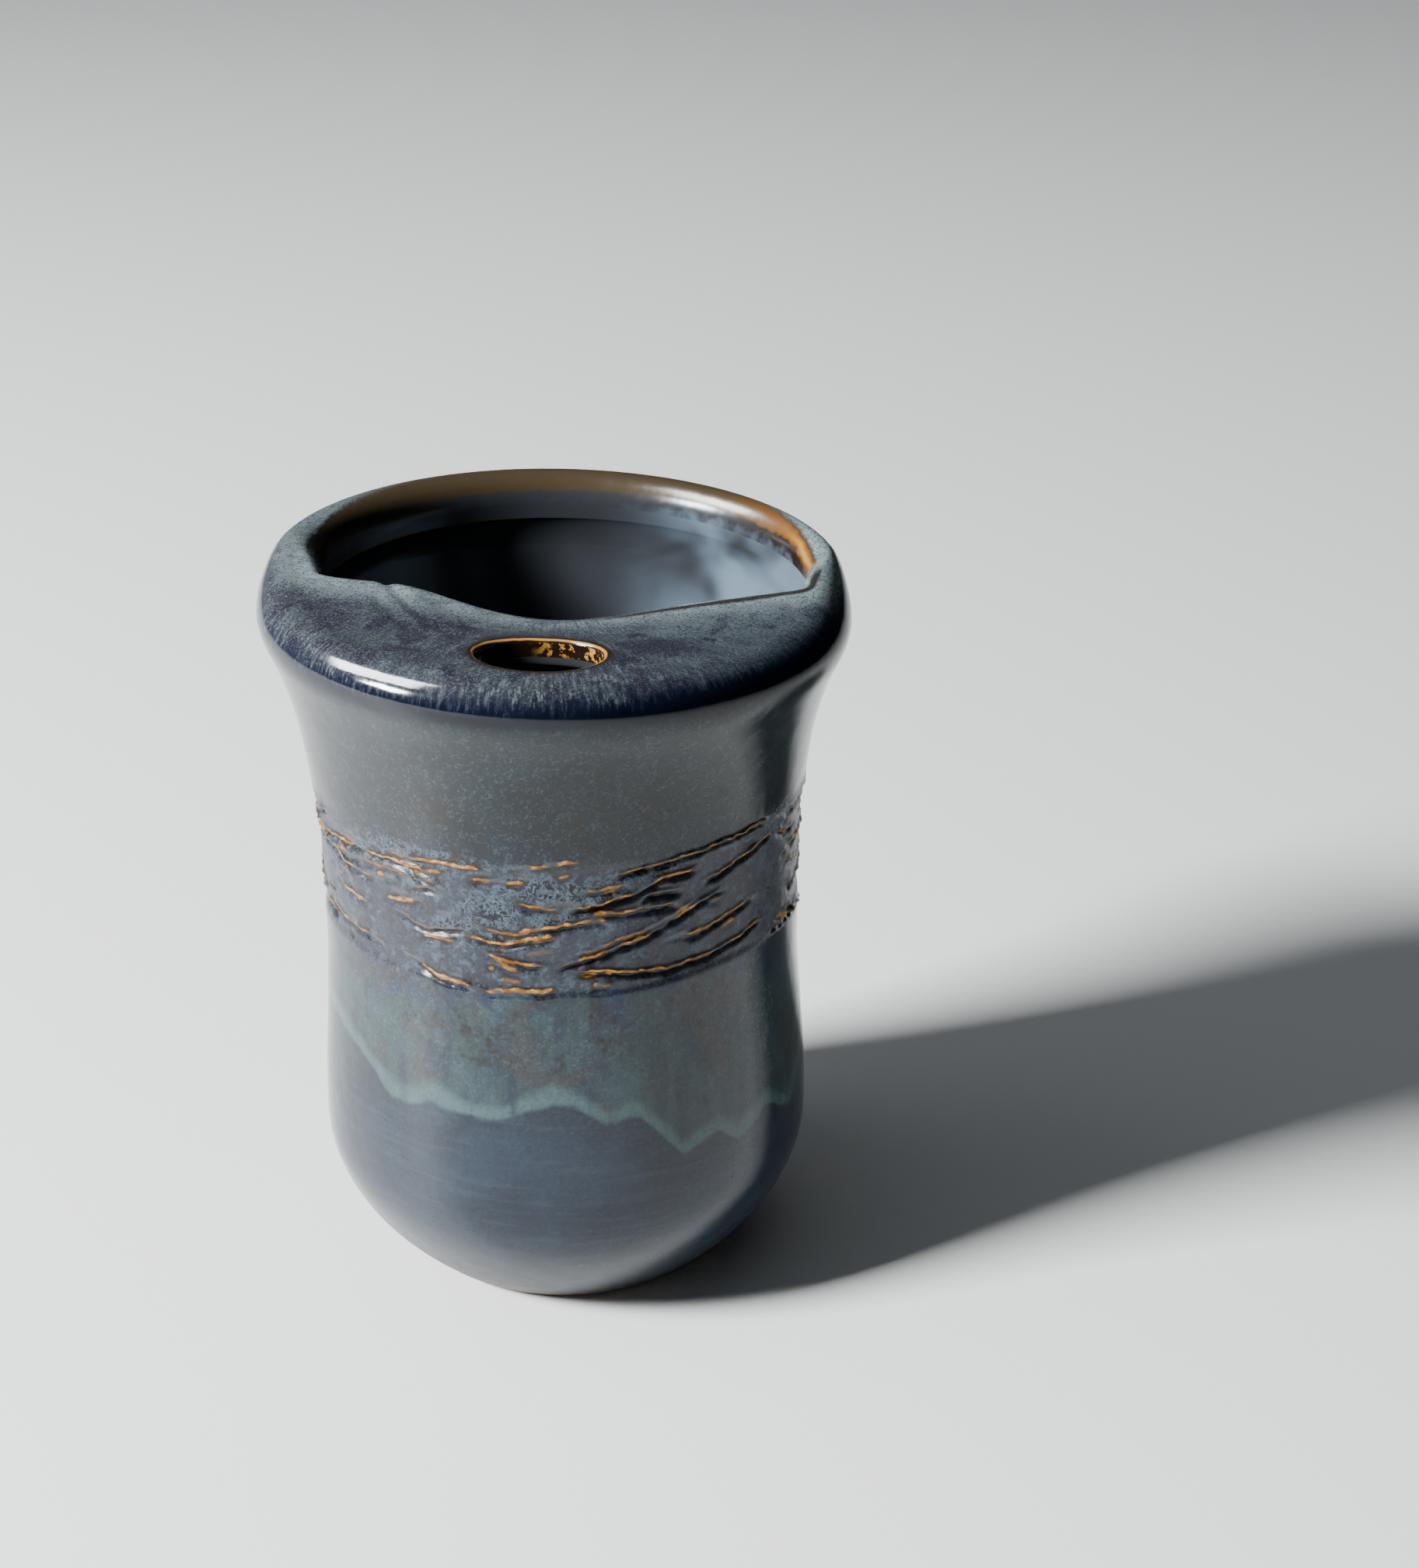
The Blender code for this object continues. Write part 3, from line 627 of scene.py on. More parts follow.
def wall_rings(angle):
    """Rings of the outside wall, from above the foot ring to the widest ring of the collar."""
    profile = outside_profile()
    band_low, band_high = BAND_BOTTOM - BAND_EDGE, BAND_TOP + 1.6 * BAND_EDGE
    levels = np.concatenate([
        BELLY_HEIGHT * np.linspace(0, 1, LOWER_ROWS + 1)[1:-1] ** 1.3,
        np.linspace(BELLY_HEIGHT, band_low, BELLY_ROWS + 1)[:-1],
        np.linspace(band_low, band_high, BAND_ROWS + 1)[:-1],
        np.linspace(band_high, COLLAR_HEIGHT, NECK_ROWS + 1),
    ])
    line = np.interp(np.degrees(angle), *np.array(GLAZE_LINE).T)
    for level in levels:
        radius = np.interp(level, profile[:, 1], profile[:, 0])
        at = np.full(len(angle), level)
        relief, marks = carving(angle, at)
        calm = ease(level / (6 * MM)) * ease((COLLAR_HEIGHT - level) / (4 * MM))
        out = radius + relief + throwing(angle, at) * calm
        marks.update({"above_line": level / MM - line, "crystals": crystal_clots(angle, at)})
        yield levelled(out[:, None] * turn(angle), level), marks


def foot_rings(angle):
    """Rings of the underside, from the middle of the recess out over the foot ring."""
    inner = FOOT_RADIUS - FOOT_RING_WIDTH
    edge = FOOT_EDGE
    steps = [(r * (inner - FOOT_BEVEL), FOOT_RECESS) for r in (0.05, 0.35, 0.7, 0.93)]
    steps += [(inner - FOOT_BEVEL, FOOT_RECESS), (inner - 0.2 * MM, 0.25 * MM), (inner, 0.0)]
    steps += [(FOOT_RADIUS - edge, 0.0), (FOOT_RADIUS - 0.3 * edge, 0.3 * edge)]
    return [(levelled(radius * turn(angle), level), {}) for radius, level in steps]


def inside_rings(angle):
    """Rings of the inside wall, from below the throat down to the middle of the floor."""
    marks = {"from_mouth": INSIDE_MOUTH}
    for curve, rows in zip(inside_profile(), (INSIDE_ROWS, INSIDE_ROWS // 2, INSIDE_ROWS)):
        length = np.concatenate([[0], np.cumsum(np.linalg.norm(np.diff(curve, axis=0), axis=1))])
        for share in np.linspace(0, 1, rows + 1)[1:]:
            radius, level = (np.interp(share * length[-1], length, side) for side in curve.T)
            yield levelled(radius * turn(angle), level), marks
    for share in (0.6, 0.25, 0.04):
        yield levelled(share * FLOOR_RADIUS * turn(angle), FLOOR_THICKNESS), marks


class Weave:
    """Points, faces and marks of the mesh as it grows: rings joined to their neighbours."""

    def __init__(self):
        self.points, self.faces, self.finishes = [], [], []
        self.marks = {name: [] for name in MARKS}

    def ring(self, points, **marks):
        """Add one loop of points with their marks and return their numbers."""
        start, count = len(self.points), len(points)
        self.points.extend(points)
        for name, usual in MARKS.items():
            self.marks[name].extend(np.broadcast_to(marks.get(name, usual), count))
        return list(range(start, start + count))

    def join(self, lower, upper, finish, skip=range(0)):
        """Faces of one finish between two loops of as many points, but for the columns to skip."""
        count = len(lower)
        for near in range(count):
            if near not in skip:
                far = (near + 1) % count
                self.faces.append((lower[near], lower[far], upper[far], upper[near]))
                self.finishes.append(finish)

    def cap(self, loop, finish):
        """One flat face over a loop."""
        self.faces.append(tuple(loop))
        self.finishes.append(finish)


def block_loop(rings, columns, rows):
    """The points round a block of the grid: along its first row, then round with the columns."""
    first, last = columns
    start, end = rows
    step = 1 if end > start else -1
    loop = [rings[start][c] for c in range(first, last)]
    loop += [rings[r][last] for r in range(start, end, step)]
    loop += [rings[end][c] for c in range(last, first, -1)]
    loop += [rings[r][first] for r in range(end, start, -step)]
    return loop


def oval_turn(points):
    """The angle of points round the drinking hole, in the proportions of its oval."""
    x = (points[:, 0] - HOLE_X) / HOLE_LENGTH
    y = (points[:, 1] - HOLE_Y) / HOLE_WIDTH
    return np.unwrap(np.arctan2(y, x))


def oval(turns, grow):
    """Plan points round the drinking hole's oval, grown outwards."""
    half = np.array([HOLE_LENGTH / 2 + grow, HOLE_WIDTH / 2 + grow])
    return np.array([HOLE_X, HOLE_Y]) + half * np.stack([np.cos(turns), np.sin(turns)], axis=-1)


def plane_terms(points):
    """Places in plan with a one beside them, ready for a plane's factors."""
    return np.column_stack([points[:, :2], np.ones(len(points))])


def hole_top(weave, above, known, turns):
    """Loops of the apron round the hole and of its rounded rim, from the block's edge inwards."""
    rim = oval(turns, HOLE_RIM_ROUND)
    fit = np.linalg.lstsq(plane_terms(above), known, rcond=None)[0]
    for share in np.linspace(0, 1, HOLE_APRON_ROWS + 1)[1:]:
        plan = above[:, :2] + (rim - above[:, :2]) * share
        points = crown(plan, SHOULDER_ROUND, 0.0, 0.0)
        depth = known * (1 - share) + plane_terms(plan) @ fit * share
        yield weave.ring(points, from_hole=from_hole(plan), from_mouth=depth, guard=1.0)
    for bend in np.linspace(0, math.pi / 2, HOLE_ROUND_ROWS + 1)[1:]:
        plan = oval(turns, HOLE_RIM_ROUND * (1 - math.sin(bend)))
        points = crown(plan, SHOULDER_ROUND, 0.0, 0.0)
        points[:, 2] -= HOLE_RIM_ROUND * (1 - math.cos(bend))
        gap = HOLE_RIM_ROUND * (math.pi / 2 - bend) / MM
        yield weave.ring(points, from_hole=gap, from_mouth=plane_terms(plan) @ fit, guard=1.0)


def hole_inside(weave, high, below, turns, low_turns):
    """Loops of the hole's upright wall, of its lower rim and of the apron under the guard."""
    low_rim = oval(low_turns, HOLE_UNDER_ROUND)
    low = guard_under(low_rim) + rim_level(low_rim[:, 0], LIP_HEIGHT)
    for share in HOLE_WALL_SHARES:
        plan = oval(turns + (low_turns - turns) * share, 0.0)
        level = high + (low + HOLE_UNDER_ROUND - high) * share
        yield weave.ring(np.column_stack([plan, level]), from_hole=(level - high) / MM)
    for bend in np.linspace(0, math.pi / 2, HOLE_UNDER_ROWS + 1)[1:]:
        plan = oval(low_turns, HOLE_UNDER_ROUND * (1 - math.cos(bend)))
        level = low + HOLE_UNDER_ROUND * (1 - math.sin(bend))
        yield weave.ring(np.column_stack([plan, level]), from_hole=(level - high) / MM)
    for share in np.linspace(0, 1, HOLE_APRON_ROWS + 1)[1:-1]:
        plan = low_rim + (below[:, :2] - low_rim) * share
        yield weave.ring(levelled(plan, guard_under(plan)), from_mouth=UNDER_MOUTH, guard=1.0)


def cut_hole(weave, top, under):
    """The drinking hole, from the loop left open in the top of the guard to the one left below."""
    above = np.array([weave.points[n] for n in top])
    below = np.array([weave.points[n] for n in under])
    turns, low_turns = oval_turn(above), oval_turn(below)
    low_turns = low_turns + 2 * math.pi * round((turns[0] - low_turns[0]) / (2 * math.pi))
    known = np.array([weave.marks["from_mouth"][n] for n in top])
    loops = [top, *hole_top(weave, above, known, turns)]
    high = np.array([weave.points[n][2] for n in loops[-1]])
    loops += hole_inside(weave, high, below, turns, low_turns)
    loops.append(under)
    glazed = HOLE_APRON_ROWS + HOLE_ROUND_ROWS + HOLE_GLAZED_ROWS
    for row, (outer, inner) in enumerate(zip(loops, loops[1:])):
        weave.join(outer, inner, OUTER if row < glazed else INNER)


def weave_cup():
    """The whole skin of the cup as one closed mesh with its marks."""
    even = np.linspace(-math.pi, math.pi, COLUMNS, endpoint=False)
    angle = even - FRONT_CROWDING * np.sin(even)
    weave = Weave()
    rings, ends = [], []
    for part in (foot_rings, wall_rings, rim_rings, vault_rings, inside_rings):
        rings += [weave.ring(points, **marks) for points, marks in part(angle)]
        ends.append(len(rings) - 1)
    foot, collar, mouth = ends[:3]
    columns = [int(np.searchsorted(angle, side)) for side in (BLOCK_LEFT, BLOCK_RIGHT)]
    top_rows = [collar + ROUND_ROWS + row for row in BLOCK_ROWS]
    under_rows = [mouth + EDGE_ROWS + row for row in BLOCK_ROWS]
    for row, (lower, upper) in enumerate(zip(rings, rings[1:])):
        gap = any(first <= row < last for first, last in (top_rows, under_rows))
        finish = FOOT if row < foot - 1 else OUTER if row < mouth else INNER
        weave.join(lower, upper, finish, range(*columns) if gap else range(0))
    under = block_loop(rings, columns, under_rows[::-1])
    cut_hole(weave, block_loop(rings, columns, top_rows), under)
    weave.cap(reversed(rings[0]), FOOT)
    weave.cap(rings[-1], INNER)
    return weave


def placed(name, data):
    """A new object in the scene, holding some data."""
    item = bpy.data.objects.new(name, data)
    bpy.context.collection.objects.link(item)
    return item


def glazed_cup():
    """The cup as one fine piece."""
    weave = weave_cup()
    mesh = bpy.data.meshes.new("glazed_cup")
    mesh.from_pydata([tuple(p) for p in weave.points], [], weave.faces)
    for name, values in weave.marks.items():
        layer = mesh.attributes.new(name, "FLOAT", "POINT")
        layer.data.foreach_set("value", np.array(values, dtype=np.float32))
    mesh.polygons.foreach_set("material_index", np.array(weave.finishes, dtype=np.int32))
    mesh.shade_smooth()
    return placed("glazed_cup", mesh)


class Value:
    """What one output of a node gives. Sums, differences and products of it add the nodes for them."""

    def __init__(self, tree, socket):
        self.tree, self.socket = tree, socket

    def __add__(self, other):
        return maths("ADD", self, other)

    def __sub__(self, other):
        return maths("SUBTRACT", self, other)

    def __rsub__(self, other):
        return maths("SUBTRACT", other, self)

    def __mul__(self, other):
        return maths("MULTIPLY", self, other)


def feed(socket, value):
    """Give an input another node's output, or a value of its own."""
    if isinstance(value, Value):
        value.tree.links.new(value.socket, socket)
    elif isinstance(value, tuple) and socket.type == "RGBA":
        socket.default_value = (*value, 1.0)
    else:
        socket.default_value = value


def wire(tree, kind, inputs=None, outlet=0, **settings):
    """Add one node, set it up, feed its inputs by name or number and give one of its outputs."""
    node = tree.nodes.new("ShaderNode" + kind)
    for name, value in settings.items():
        setattr(node, name, value)
    for name, value in (inputs or {}).items():
        feed(node.inputs[name], value)
    return Value(tree, node.outputs[outlet])


def shared_tree(*values):
    """The tree that the first output among some values stands in."""
    return next(value.tree for value in values if isinstance(value, Value))


def maths(operation, *values):
    """One step of arithmetic on outputs and numbers."""
    return wire(shared_tree(*values), "Math", dict(enumerate(values)), operation=operation)


def mix(share, first, second):
    """A colour between two."""
    inputs = {0: share, 6: first, 7: second}
    return wire(shared_tree(share, first, second), "Mix", inputs, 2, data_type="RGBA")


def between(value, low, high):
    """Goes smoothly from 0 at low to 1 at high, or the other way round if high is the lower."""
    start, end = (0.0, 1.0) if low < high else (1.0, 0.0)
    inputs = {"Value": value, "From Min": min(low, high), "From Max": max(low, high)}
    inputs.update({"To Min": start, "To Max": end})
    return wire(value.tree, "MapRange", inputs, interpolation_type="SMOOTHSTEP")


def hump(value, low, rise, fall, high):
    """1 between rise and fall, and smoothly down to 0 at low and at high."""
    return between(value, low, rise) * between(value, high, fall)


def stretched(place, x, y, z):
    """Places squeezed or drawn out along each axis."""
    return wire(place.tree, "VectorMath", {0: place, 1: (x, y, z)}, operation="MULTIPLY")


def noise(place, size, detail=2.0, rough=0.5, warp=0.0):
    """A cloudy value round 0.5 whose clouds are about so many millimetres wide."""
    inputs = {"Vector": place, "Scale": 1 / size, "Detail": detail}
    inputs.update({"Roughness": rough, "Distortion": warp})
    return wire(place.tree, "TexNoise", inputs)


def mark(place, name):
    """What the mesh's points know under a name, in the tree where the place is used."""
    return wire(place.tree, "Attribute", outlet=2, attribute_name=name)


def node_group(name, inlets, outlets):
    """A new shader node group with its sockets; gives it, its values by name and its outlets."""
    group = bpy.data.node_groups.new(name, "ShaderNodeTree")
    for sockets, side in ((inlets, "INPUT"), (outlets, "OUTPUT")):
        for socket, kind in sockets.items():
            group.interface.new_socket(socket, in_out=side, socket_type="NodeSocket" + kind)
    entry, leave = group.nodes.new("NodeGroupInput"), group.nodes.new("NodeGroupOutput")
    return group, {socket: Value(group, entry.outputs[socket]) for socket in inlets}, leave.inputs


def apply_group(tree, group, **inputs):
    """Place a node group in a tree, feed it and give its outputs by name."""
    node = tree.nodes.new("ShaderNodeGroup")
    node.node_tree = group
    for name, value in inputs.items():
        feed(node.inputs[name.capitalize()], value)
    return {socket.name: Value(tree, socket) for socket in node.outputs}


def cup_places():
    """Group: the place on the cup in millimetres, its height, its angle from the front, and a place
    for fibres that run up the wall and inwards over the collar."""
    outlets = {"Place": "Vector", "Height": "Float", "Angle": "Float", "Fibres": "Vector"}
    group, _, out = node_group("cup_places", {}, outlets)
    place = stretched(wire(group, "TexCoord", outlet=3), 1 / MM, 1 / MM, 1 / MM)
    right, back, height = (wire(group, "SeparateXYZ", {0: place}, axis) for axis in range(3))
    angle = maths("ARCTAN2", right, back * -1.0)
    outwards = maths("SQRT", right * right + back * back)
    fibres = {0: angle * (COLLAR_RADIUS / MM), 1: (height - outwards) * 0.16}
    feed(out["Place"], place)
    feed(out["Height"], height)
    feed(out["Angle"], angle)
    feed(out["Fibres"], wire(group, "CombineXYZ", fibres))
    return group


def crystal_flecks():
    """Group: small crystals floating in a glaze. Lightens and darkens a colour by tiny flecks."""
    inlets = {"Colour": "Color", "Place": "Vector", "Pale": "Float", "Dark": "Float"}
    group, given, out = node_group("crystal_flecks", inlets, {"Colour": "Color", "Height": "Float"})
    fine = noise(given["Place"], 0.33, 1.0, 0.6)
    grains = noise(given["Place"], 0.9, 2.0, 0.65, 0.4)
    pale = between(fine, 0.46, 0.66) * between(grains, 0.38, 0.62)
    dark = between(fine, 0.5, 0.34) * between(grains, 0.62, 0.42)
    lit = mix(pale * given["Pale"], given["Colour"], PALE_CRYSTAL)
    feed(out["Colour"], mix(dark * given["Dark"], lit, DARK_PIT))
    feed(out["Height"], fine)
    return group


def burnt_edge():
    """Group: glaze that runs thin over a sharp edge, dark brown round it and amber to gold on it."""
    inlets = {"Colour": "Color", "Fringe": "Float", "Edge": "Float", "Burn": "Float"}
    group, given, out = node_group("burnt_edge", inlets, {"Colour": "Color"})
    hot = mix(given["Burn"], AMBER_GLAZE, GOLD_GLAZE)
    browned = mix(given["Fringe"], given["Colour"], BROWN_GLAZE)
    feed(out["Colour"], mix(given["Edge"], browned, hot))
    return group


def new_material(name, bending=1.5):
    """An empty material whose shader bends light so much; gives it, its tree and the shader's inputs."""
    material = bpy.data.materials.new(name)
    material.use_nodes = True
    tree = material.node_tree
    shader = tree.nodes["Principled BSDF"].inputs
    shader["IOR"].default_value = bending
    return material, tree, shader


def body_colour(place, height):
    """The wall below the band: slate low down, then a pale wavy line, and teal grey with runs above."""
    clouds = noise(place, 7.0, 3.0, 0.55, 0.4)
    runs = noise(stretched(place, 1, 1, 0.12), 2.6, 3.0, 0.6)
    rings = noise(stretched(place, 0.1, 0.1, 1), 0.8, 2.0, 0.6)
    fine = noise(place, 0.5, 2.0, 0.6)
    low = mix(between(clouds, 0.35, 0.65), LOW_SLATE, LOW_BLUE)
    low = mix(between(rings, 0.45, 0.7) * 0.35, low, LOW_PALE)
    low = mix(between(height, 13.0, 3.0) * 0.45, low, LOW_FOOT)
    high = mix(between(runs, 0.38, 0.62), RUN_BLUE, RUN_TEAL)
    high = mix(between(clouds, 0.5, 0.75) * 0.6, high, RUN_PALE)
    above = mark(place, "above_line") + noise(place, 3.5, 2.0, 0.4) * 2.0 - 1.0
    smudges = noise(stretched(place, 1, 1, 0.5), 2.8)
    smudge = between(height, BAND_FROM - 6.1, BAND_FROM - 1.1) * between(smudges, 0.47, 0.6) * 0.8
    high = mix(smudge, high, SMUDGE_COBALT)
    rusty = between(noise(place, 8.0, 2.0, 0.5, 0.8), 0.5, 0.62)
    high = mix(rusty * 0.6, high, RUN_RUSTY)
    colour = mix(between(above, -0.6, 0.9), low, high)
    line = hump(above, -0.8, 0.0, 0.5, 2.4) * between(runs, 0.15, 0.5) * 0.7
    colour = mix(line, colour, LINE_PALE)
    return mix(between(fine, 0.5, 0.7) * 0.12, colour, RUN_PALE)


def band_colour(place):
    """The scored band: purple grey with clots of pale blue crystals."""
    clouds = noise(place, 4.0, 2.0, 0.5, 0.5)
    clots = noise(place, 1.3, 3.0, 0.65, 0.6)
    colour = mix(between(clouds, 0.35, 0.65), BAND_PURPLE, BAND_GREY)
    return mix(between(clots, 0.5, 0.66) * 0.6, colour, BAND_BLUE)


def neck_colour(place, height):
    """The neck: dark steel grey clouded with teal, and bluer just above the band."""
    clouds = noise(place, 9.0, 3.0, 0.5, 0.3)
    colour = mix(between(clouds, 0.35, 0.65), NECK_GREY, NECK_TEAL)
    low = between(height, BAND_TO + 5.2, BAND_TO + 0.2) * 0.5
    return mix(low, colour, NECK_LOW)


def crown_colour(place, height, angle, hairs):
    """The collar's shoulder and the guard: purple grey, combed pale at the shoulder, paler teal to the free
    edge (partly the glaze's own crystals, partly a painted sheen), painted paler to the right as painted
    light, and violet in patches and right of the hole."""
    clouds = noise(place, 5.0, 3.0, 0.6, 0.8)
    swirls = noise(stretched(place, 0.4, 1, 1), 1.6, 3.0, 0.6, 1.5)
    colour = mix(between(clouds, 0.3, 0.6), CROWN_PURPLE, CROWN_GREY)
    from_mouth = mark(place, "from_mouth")
    # Paler teal towards the free edge: partly the glaze's own crystals, partly a painted sheen where the edge
    # faces the light
    near = between(from_mouth + swirls * 6.0 - 3.0, 6.5, 1.5)
    marbled = between(swirls, 0.4, 0.6) * 0.45 + 0.45
    colour = mix(near * marbled, colour, CROWN_TEAL)
    # Painted light: the crown paler to the right, as if lit there by fill light
    colour = mix(between(angle, 0.1, 0.9) * CROWN_PAINTED_LIGHT_RIGHT, colour, CROWN_TEAL)
    grain = noise(place, 0.26, 3.0, 0.8)
    shoulder = between(height, COLLAR_AT + 4.6, COLLAR_AT + 2.8) * between(from_mouth, 5.0, 10.0)
    combed = between(hairs, 0.48, 0.7) * shoulder * between(angle, 0.7, 0.2) * 0.35
    colour = mix(combed, colour, CROWN_TEAL)
    tinge = noise(place, 3.4, 2.0, 0.5, 0.6)
    violet = between(tinge, 0.52, 0.66) * between(from_mouth, 3.0, 7.0)
    ragged = from_mouth + tinge * 4.0
    right_of_hole = hump(angle, 0.28, 0.42, 0.6, 0.8) * hump(ragged, 9.5, 11.5, 14.5, 16.5)
    violet = maths("MAXIMUM", violet, right_of_hole)
    colour = mix(violet * 0.85, colour, CROWN_VIOLET)
    colour = mix(between(grain, 0.52, 0.64) * 0.26, colour, CROWN_TEAL)
    return mix(between(grain, 0.5, 0.38) * 0.8, colour, CROWN_PURPLE)


def outer_colour(place, height, angle, fibres):
    """All zones of the outside, each passing into the next along a wavering height."""
    level = height + noise(place, 2.2, 3.0, 0.6) * 2.4 - 1.2
    hairs = noise(fibres, 0.5, 3.0, 0.7)
    hairy = (hairs * 4.0 - 2.0) * (between(angle, 0.9, 0.2) * 0.65 + 0.35)
    # The pool reaches higher to the right as a painted dark reflection
    fringe = height + hairy - between(angle, -0.2, 0.8) * PAINTED_REFLECTION_RISE
    colour = body_colour(place, height)
    colour = mix(between(level, BAND_FROM - 0.6, BAND_FROM + 1.0), colour, band_colour(place))
    colour = mix(between(level, BAND_TO - 0.6, BAND_TO + 1.4), colour, neck_colour(place, height))
    # The pool round the collar's widest ring: the cobalt glaze's own pooling, with a painted dark reflection
    # in its black lower part
    pool = mix(between(fringe, COLLAR_AT - 0.2, COLLAR_AT + 2.3), POOL_BLACK_AND_PAINTED_REFLECTION, POOL_COBALT)
    drips = height + hairs * 1.6 - 0.8
    colour = mix(between(drips, COLLAR_AT - 1.3, COLLAR_AT - 0.3), colour, pool)
    crown_above = between(fringe, COLLAR_AT + 0.8, COLLAR_AT + 3.6)
    return mix(crown_above, colour, crown_colour(place, height, angle, hairs))


def crystalled(place, height, colour):
    """Crystals and pits in the glaze, thickest in the clots of the band; gives the colour with
    them, and how high the flecks stand."""
    crystals = mark(place, "crystals")
    below_collar = between(height, COLLAR_AT + 0.3, COLLAR_AT - 2.2)
    upper_wall = below_collar * between(height, 20.0, 42.0)
    inputs = {"colour": colour, "place": place, "pale": crystals * 0.6 + upper_wall * 0.14}
    inputs["dark"] = crystals * 0.95 + below_collar * 0.25
    flecks = apply_group(place.tree, GROUPS["flecks"], **inputs)
    pitted = crystals * 0.22 + noise(place, 0.75, 3.0, 0.75, 0.5)
    clotted = between(crystals, 0.08, 0.35)
    rims = clotted * hump(pitted, 0.58, 0.64, 0.66, 0.7)
    colour = mix(rims, flecks["Colour"], BAND_BLUE)
    return mix(clotted * between(pitted, 0.67, 0.71), colour, DARK_PIT), flecks["Height"]


def torn_colour(place, colour):
    """The tears of the band: painted shade in their grooves, a painted highlight on the pale crest above
    each, and burnt brown, amber and gold on their lips.
    """
    burn = mark(place, "burn")
    ragged = (noise(place, 0.6) + noise(place, 2.0, 1.0)) * 0.6 - 0.6
    lip = mark(place, "lip") + burn * 0.25 + ragged
    shade = between(mark(place, "groove") + ragged, 0.35, 0.8)
    golden = between(noise(place, 3.2), 0.38, 0.5) * between(burn, 0.15, 0.5)
    glints = between(noise(place, 1.1, 2.0, 0.6), 0.38, 0.68)
    # Painted highlight on the crest above each tear, then painted shade in the groove below it
    colour = mix(between(lip, 0.35, 0.7) * 0.45, colour, BAND_CREST_PAINTED_HIGHLIGHT)
    colour = mix(shade * 0.75, colour, GROOVE_PAINTED_SHADE)
    inputs = {"colour": colour, "fringe": between(lip, 0.1, 0.5) * golden * 0.9}
    inputs.update({"edge": between(lip, 0.7, 0.95) * golden, "burn": burn * glints})
    return apply_group(place.tree, GROUPS["edge"], **inputs)["Colour"]


def outer_roughness(place, height, flecks):
    """How dull the outside is: a little clouded, more so near the foot, on the band and at the lip."""
    rough = noise(place, 1.5) * 0.12 + 0.06 + between(height, 16.0, 3.0) * 0.3
    in_band = hump(height, BAND_FROM - 0.6, BAND_FROM + 1.4, BAND_TO - 0.3, BAND_TO + 1.7)
    at_lip = between(mark(place, "from_mouth"), 4.0, 2.5) * between(mark(place, "guard"), 0.6, 0.2)
    return rough + in_band * flecks * 0.5 + at_lip * 0.12


def bumped(height, strength, depth):
    """The way that a surface faces where a value makes it higher and lower by so much."""
    return wire(height.tree, "Bump", {"Height": height, "Strength": strength, "Distance": depth})


def outer_glaze():
    """The glaze of the outside, from the foot over the collar to the mouth."""
    material, tree, shader = new_material("outer_glaze", GLAZE_BENDING)
    where = apply_group(tree, GROUPS["places"])
    place, height, angle = where["Place"], where["Height"], where["Angle"]
    colour = outer_colour(place, height, angle, where["Fibres"])
    colour, flecks = crystalled(place, height, colour)
    colour = torn_colour(place, colour)
    colour = lip_colour(place, angle, colour)
    colour = free_edge_colour(place, angle, colour)
    colour = hole_colour(place, angle, colour)
    foot = between(height + noise(place, 1.5), 2.7, 1.9)
    feed(shader["Base Color"], mix(foot, colour, FOOT_BROWN))
    feed(shader["Roughness"], outer_roughness(place, height, flecks))
    waves = flecks * (mark(place, "crystals") * 0.5 + 0.05) + noise(place, 3.0)
    feed(shader["Normal"], bumped(waves, 0.25, 0.2 * MM))
    return material


def lip_zones():
    """Group: how far a place is outwards from the burnt line of the lip in millimetres, how wide
    that line is there, and whether it is at the back or on the left."""
    outlets = {"Depth": "Float", "Width": "Float", "Back": "Float", "Left": "Float", "Lip": "Float"}
    group, given, out = node_group("lip_zones", {"Place": "Vector", "Angle": "Float"}, outlets)
    place = given["Place"]
    around = maths("ABSOLUTE", given["Angle"])
    back = between(around, 1.85, 2.6)
    left = between(given["Angle"], 0.2, -0.2)
    shift = left * (1.0 - back) * 0.5
    inner = between(around, 1.7, 2.0) * 0.45 + shift
    grain = noise(place, 1.4) * 0.5 - 0.25
    feed(out["Depth"], mark(place, "from_mouth") + grain - inner)
    feed(out["Width"], back * 2.1 + 0.75)
    feed(out["Back"], back)
    feed(out["Left"], left)
    feed(out["Lip"], between(mark(place, "guard"), 0.6, 0.2))
    return group


def lip_colour(place, angle, colour):
    """The lip of the round back: amber to olive where the glaze burns through, outlined in brown,
    and milky beyond it."""
    zones = apply_group(place.tree, GROUPS["lip"], place=place, angle=angle)
    round_back, at_back, depth = zones["Lip"], zones["Back"], zones["Depth"]
    span = maths("DIVIDE", depth, zones["Width"])
    burnt = mix(maths("MAXIMUM", at_back, zones["Left"]), AMBER_GLAZE, OLIVE_GLAZE)
    golden = hump(span, 0.1, 0.4, 0.5, 0.9) * hump(angle, 1.5, 1.6, 1.8, 2.1) * 0.5
    burnt = mix(golden, burnt, GOLD_GLAZE)
    colour = mix(between(span, 1.6, 0.9) * round_back, colour, burnt)
    outline = hump(span, 0.9, 1.1, 1.2, 1.8) * (1.0 - at_back) * 0.75
    dark = maths("MAXIMUM", between(depth, 0.15, -0.1), outline)
    colour = mix(dark * round_back, colour, mix(at_back, BROWN_GLAZE, INSIDE_DARK))
    milk = apply_group(place.tree, GROUPS["milk"], place=place, angle=angle)["Colour"]
    return mix(between(depth, -0.25, -0.6) * round_back, colour, milk)


def free_edge_colour(place, angle, colour):
    """The brown line along the right half of the guard's free edge."""
    mouth = mark(place, "from_mouth") + noise(place, 1.6) * 0.3
    along = hump(mouth, 0.9, 1.4, 1.8, 2.2) * between(mark(place, "guard"), 0.55, 0.9)
    return mix(along * between(angle, 0.2, 0.8) * 0.9, colour, BROWN_GLAZE)


